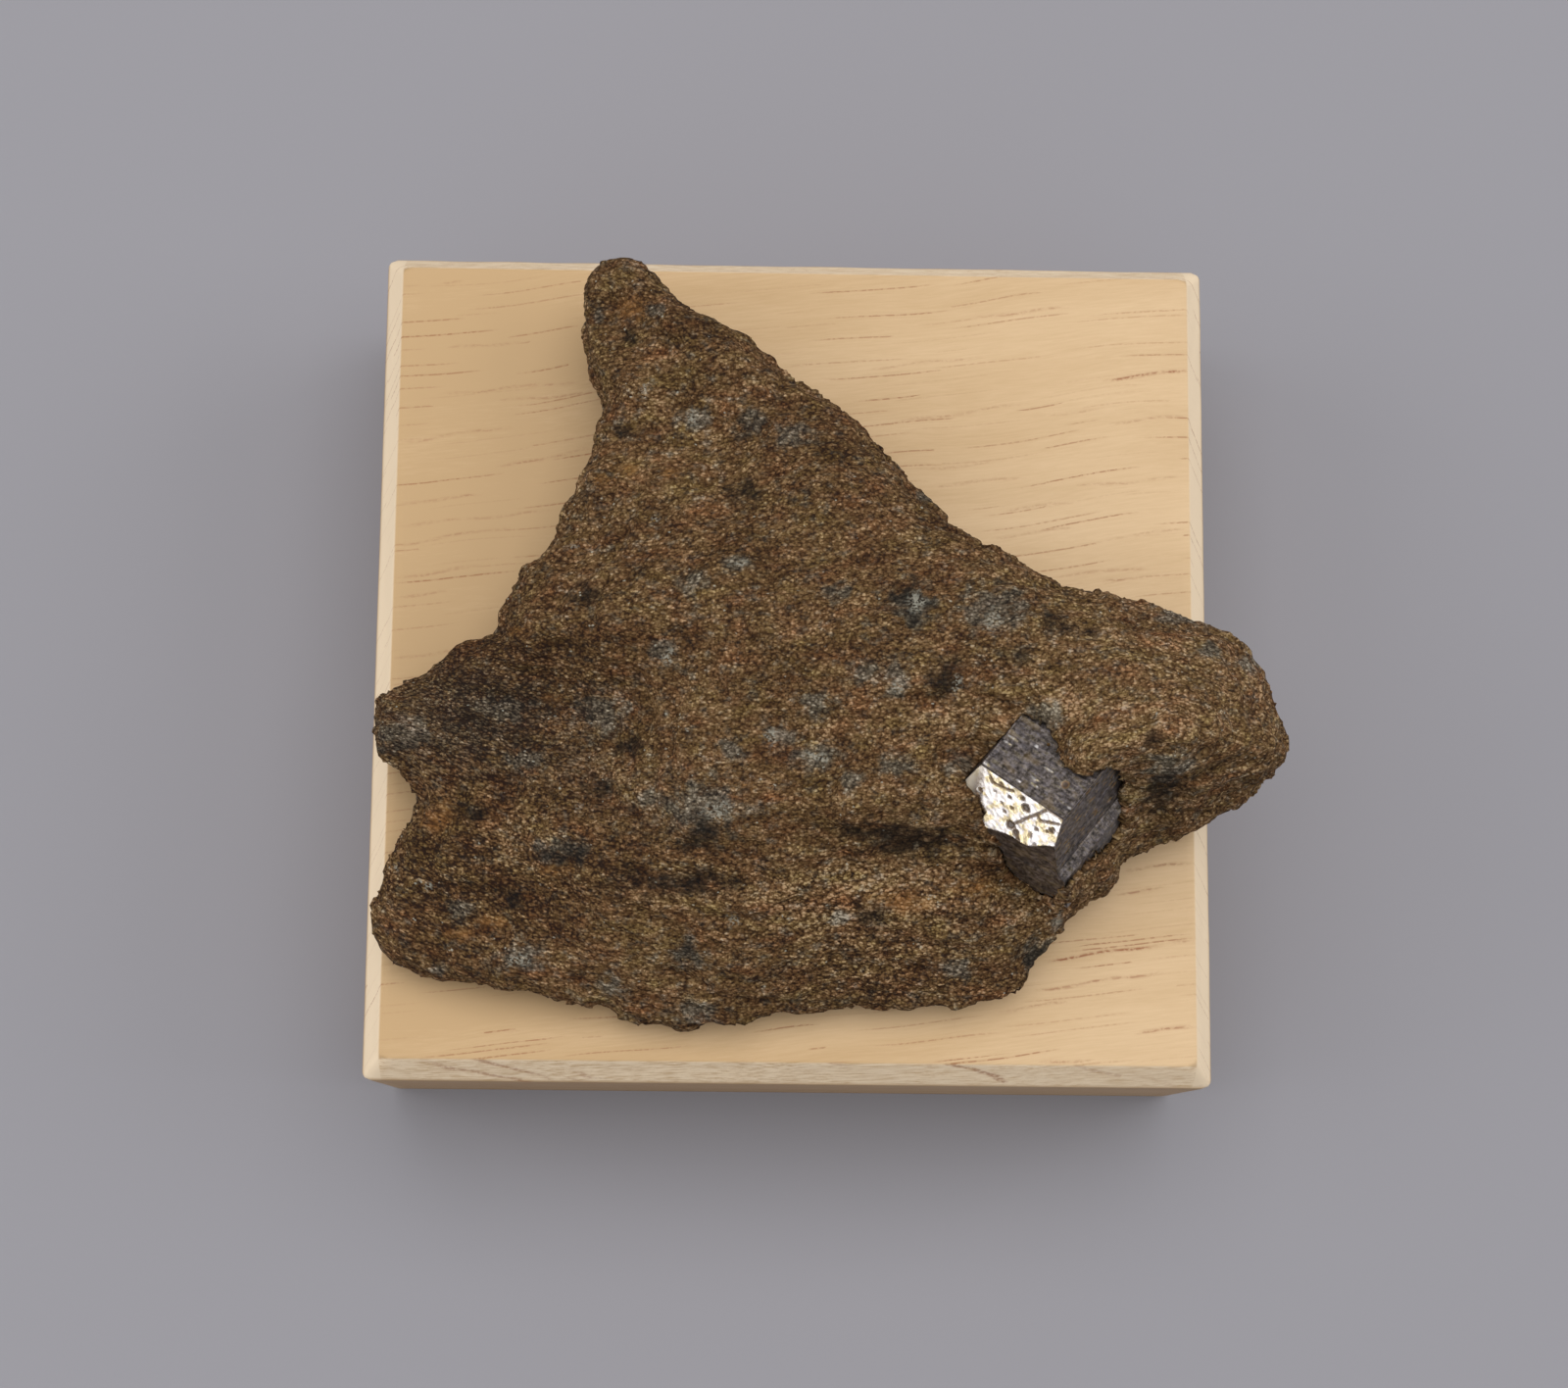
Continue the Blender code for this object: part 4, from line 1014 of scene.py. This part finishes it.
# The etched network on the bright face
etch = add_node(
    tree, "ShaderNodeTexVoronoi", {"feature": "DISTANCE_TO_EDGE", "Scale": 2.0},
    {"Vector": own_place},
)
etch_cloud = add_node(
    tree, "ShaderNodeTexNoise", {"Scale": 0.9, "Detail": 4.0, "Roughness": 0.65},
    {"Vector": own_place},
)
etch_width = add_node(
    tree, "ShaderNodeMapRange", {"From Min": 0.46, "From Max": 0.72, "To Max": 0.13},
    {"Value": etch_cloud},
)
etch_line = add_node(
    tree, "ShaderNodeMath", {"operation": "SUBTRACT"}, {0: etch_width, 1: etch.outputs["Distance"]}
)
etch_share = add_node(
    tree, "ShaderNodeMapRange", {"From Max": 0.06, "To Max": 0.55}, {"Value": etch_line}
)
fresh_colour = add_node(
    tree, "ShaderNodeValToRGB", links={"Fac": etch_cloud},
    stops=[(0.32, "#ECE7E2"), (0.50, "#D5CECB"), (0.60, "#D2C29A"), (0.72, "#B9A78A")],
)
etched = add_node(
    tree, "ShaderNodeMix", {"data_type": "RGBA", 7: linear("#6F5F50")},
    {"Factor": etch_share, 6: fresh_colour},
)
ore_colour = add_node(
    tree, "ShaderNodeMix", {"data_type": "RGBA"},
    {"Factor": fresh_value, 6: cleaned.outputs[2], 7: etched.outputs[2]},
)
# Towards its left tip the bright face is painted pale and made less metallic: a painted reflection
# of the light that the face mirrors there.
tip_reflection_value = add_node(tree, "ShaderNodeAttribute", {"attribute_name": "tip_reflection"}).outputs["Fac"]
tip_reflection_painted = add_node(
    tree, "ShaderNodeMix", {"data_type": "RGBA", 7: linear("#FFF3DA")},
    {"Factor": tip_reflection_value, 6: ore_colour.outputs[2]},
)
# Rust: ochre where thin, dark brown where thick
rust_value = add_node(tree, "ShaderNodeAttribute", {"attribute_name": "rust"}).outputs["Fac"]
rust_colour = add_node(
    tree, "ShaderNodeValToRGB", links={"Fac": rust_value},
    stops=[(0.15, "#A88A52"), (0.45, "#6E4E2E"), (0.8, "#43301F")],
)
rust_share = add_node(
    tree, "ShaderNodeMapRange", {"From Min": 0.05, "From Max": 0.5, "To Max": 0.92},
    {"Value": rust_value},
)
rusty_ore = add_node(
    tree, "ShaderNodeMix", {"data_type": "RGBA"},
    {"Factor": rust_share, 6: tip_reflection_painted.outputs[2], 7: rust_colour},
)
tree.links.new(rusty_ore.outputs[2], surface.inputs["Base Color"])
# Tarnish and rust are dull films, so they shine less like a metal.
film = add_node(tree, "ShaderNodeMapRange", {"To Min": 0.55}, {"Value": fresh_value})
bare_metal = add_node(
    tree, "ShaderNodeMapRange", {"To Min": 1.0, "To Max": 0.1}, {"Value": rust_share}
)
metal = add_node(tree, "ShaderNodeMath", {"operation": "MULTIPLY"}, {0: film, 1: bare_metal})
metal_off_tip = add_node(
    tree, "ShaderNodeMapRange", {"To Min": 1.0, "To Max": 0.15}, {"Value": tip_reflection_value}
)
metal_share = add_node(tree, "ShaderNodeMath", {"operation": "MULTIPLY"}, {0: metal, 1: metal_off_tip})
tree.links.new(metal_share.outputs["Value"], surface.inputs["Metallic"])
ore_roughness = add_node(
    tree, "ShaderNodeMapRange", {"To Min": 0.42, "To Max": 0.24}, {"Value": fresh_value}
)
tree.links.new(ore_roughness.outputs["Result"], surface.inputs["Roughness"])
etch_bump = add_node(
    tree, "ShaderNodeBump", {"Strength": 0.5, "Distance": 0.00003}, {"Height": etch_cloud}
)
tree.links.new(etch_bump.outputs["Normal"], surface.inputs["Normal"])
cobaltite.data.materials.clear()
cobaltite.data.materials.append(silver_ore)
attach(cobaltite, "root")
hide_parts("cobaltite_crystal")


# Floor. A plain pale grey sheet, matt.
clear_selection()
bpy.ops.mesh.primitive_plane_add(size=6.0, location=(0.0, 0.0, 0.0))
floor = bpy.context.object
floor.name = "floor"
floor_grey = bpy.data.materials.new("plain_grey_floor")
floor_grey.use_nodes = True
surface = floor_grey.node_tree.nodes["Principled BSDF"]
surface.inputs["Base Color"].default_value = linear("#97959A")
surface.inputs["Roughness"].default_value = 0.9
surface.inputs["Specular IOR Level"].default_value = 0.2
floor.data.materials.append(floor_grey)


# Light. Plain soft studio light: a large soft panel overhead, a little to the back, a weaker one
# from either side, and a low white card at the left front that the silver face mirrors.
def add_panel(name, towards, distance, width, height, radiance):
    """A soft rectangular light that faces the middle of the object from that direction."""
    lamp = bpy.data.lights.new(name, "AREA")
    lamp.shape = "RECTANGLE"
    lamp.size = width
    lamp.size_y = height
    lamp.energy = radiance * math.pi * width * height
    panel = bpy.data.objects.new(name, lamp)
    bpy.context.scene.collection.objects.link(panel)
    direction = Vector(towards).normalized()
    panel.location = Vector((0.0, 0.0, 0.04)) + direction * distance
    panel.rotation_euler = (-direction).to_track_quat("-Z", "Y").to_euler()
    panel.visible_camera = False
    return panel


add_panel("overhead_panel", (0.03, 0.22, 0.97), 1.5, 1.4, 1.3, 2.3)
add_panel("left_panel", (-0.82, 0.05, 0.57), 1.2, 0.8, 0.8, 1.4)
add_panel("right_panel", (0.82, 0.15, 0.57), 1.2, 0.8, 0.8, 1.8)
add_panel("silver_card", (-0.83, -0.55, 0.03), 0.42, 0.26, 0.12, 2.6)
world = bpy.data.worlds.new("soft_room")
bpy.context.scene.world = world
world.use_nodes = True
world.node_tree.nodes["Background"].inputs["Color"].default_value = linear("#C8CACD")
world.node_tree.nodes["Background"].inputs["Strength"].default_value = 0.72


# Camera. It looks down on the object from a little in front, as the photograph does.
lens = bpy.data.cameras.new("camera")
lens.sensor_width = 36.0
lens.lens = 67.02
lens.clip_start = 0.01
lens.clip_end = 20.0
camera = bpy.data.objects.new("camera", lens)
camera.location = (-0.007215, -0.054899, 0.340324)
camera.rotation_euler = Euler((0.164538, -0.022158, 0.009462), "XYZ")
bpy.context.scene.collection.objects.link(camera)
bpy.context.scene.camera = camera
bpy.context.scene.view_settings.view_transform = "Standard"

bpy.context.view_layer.update()
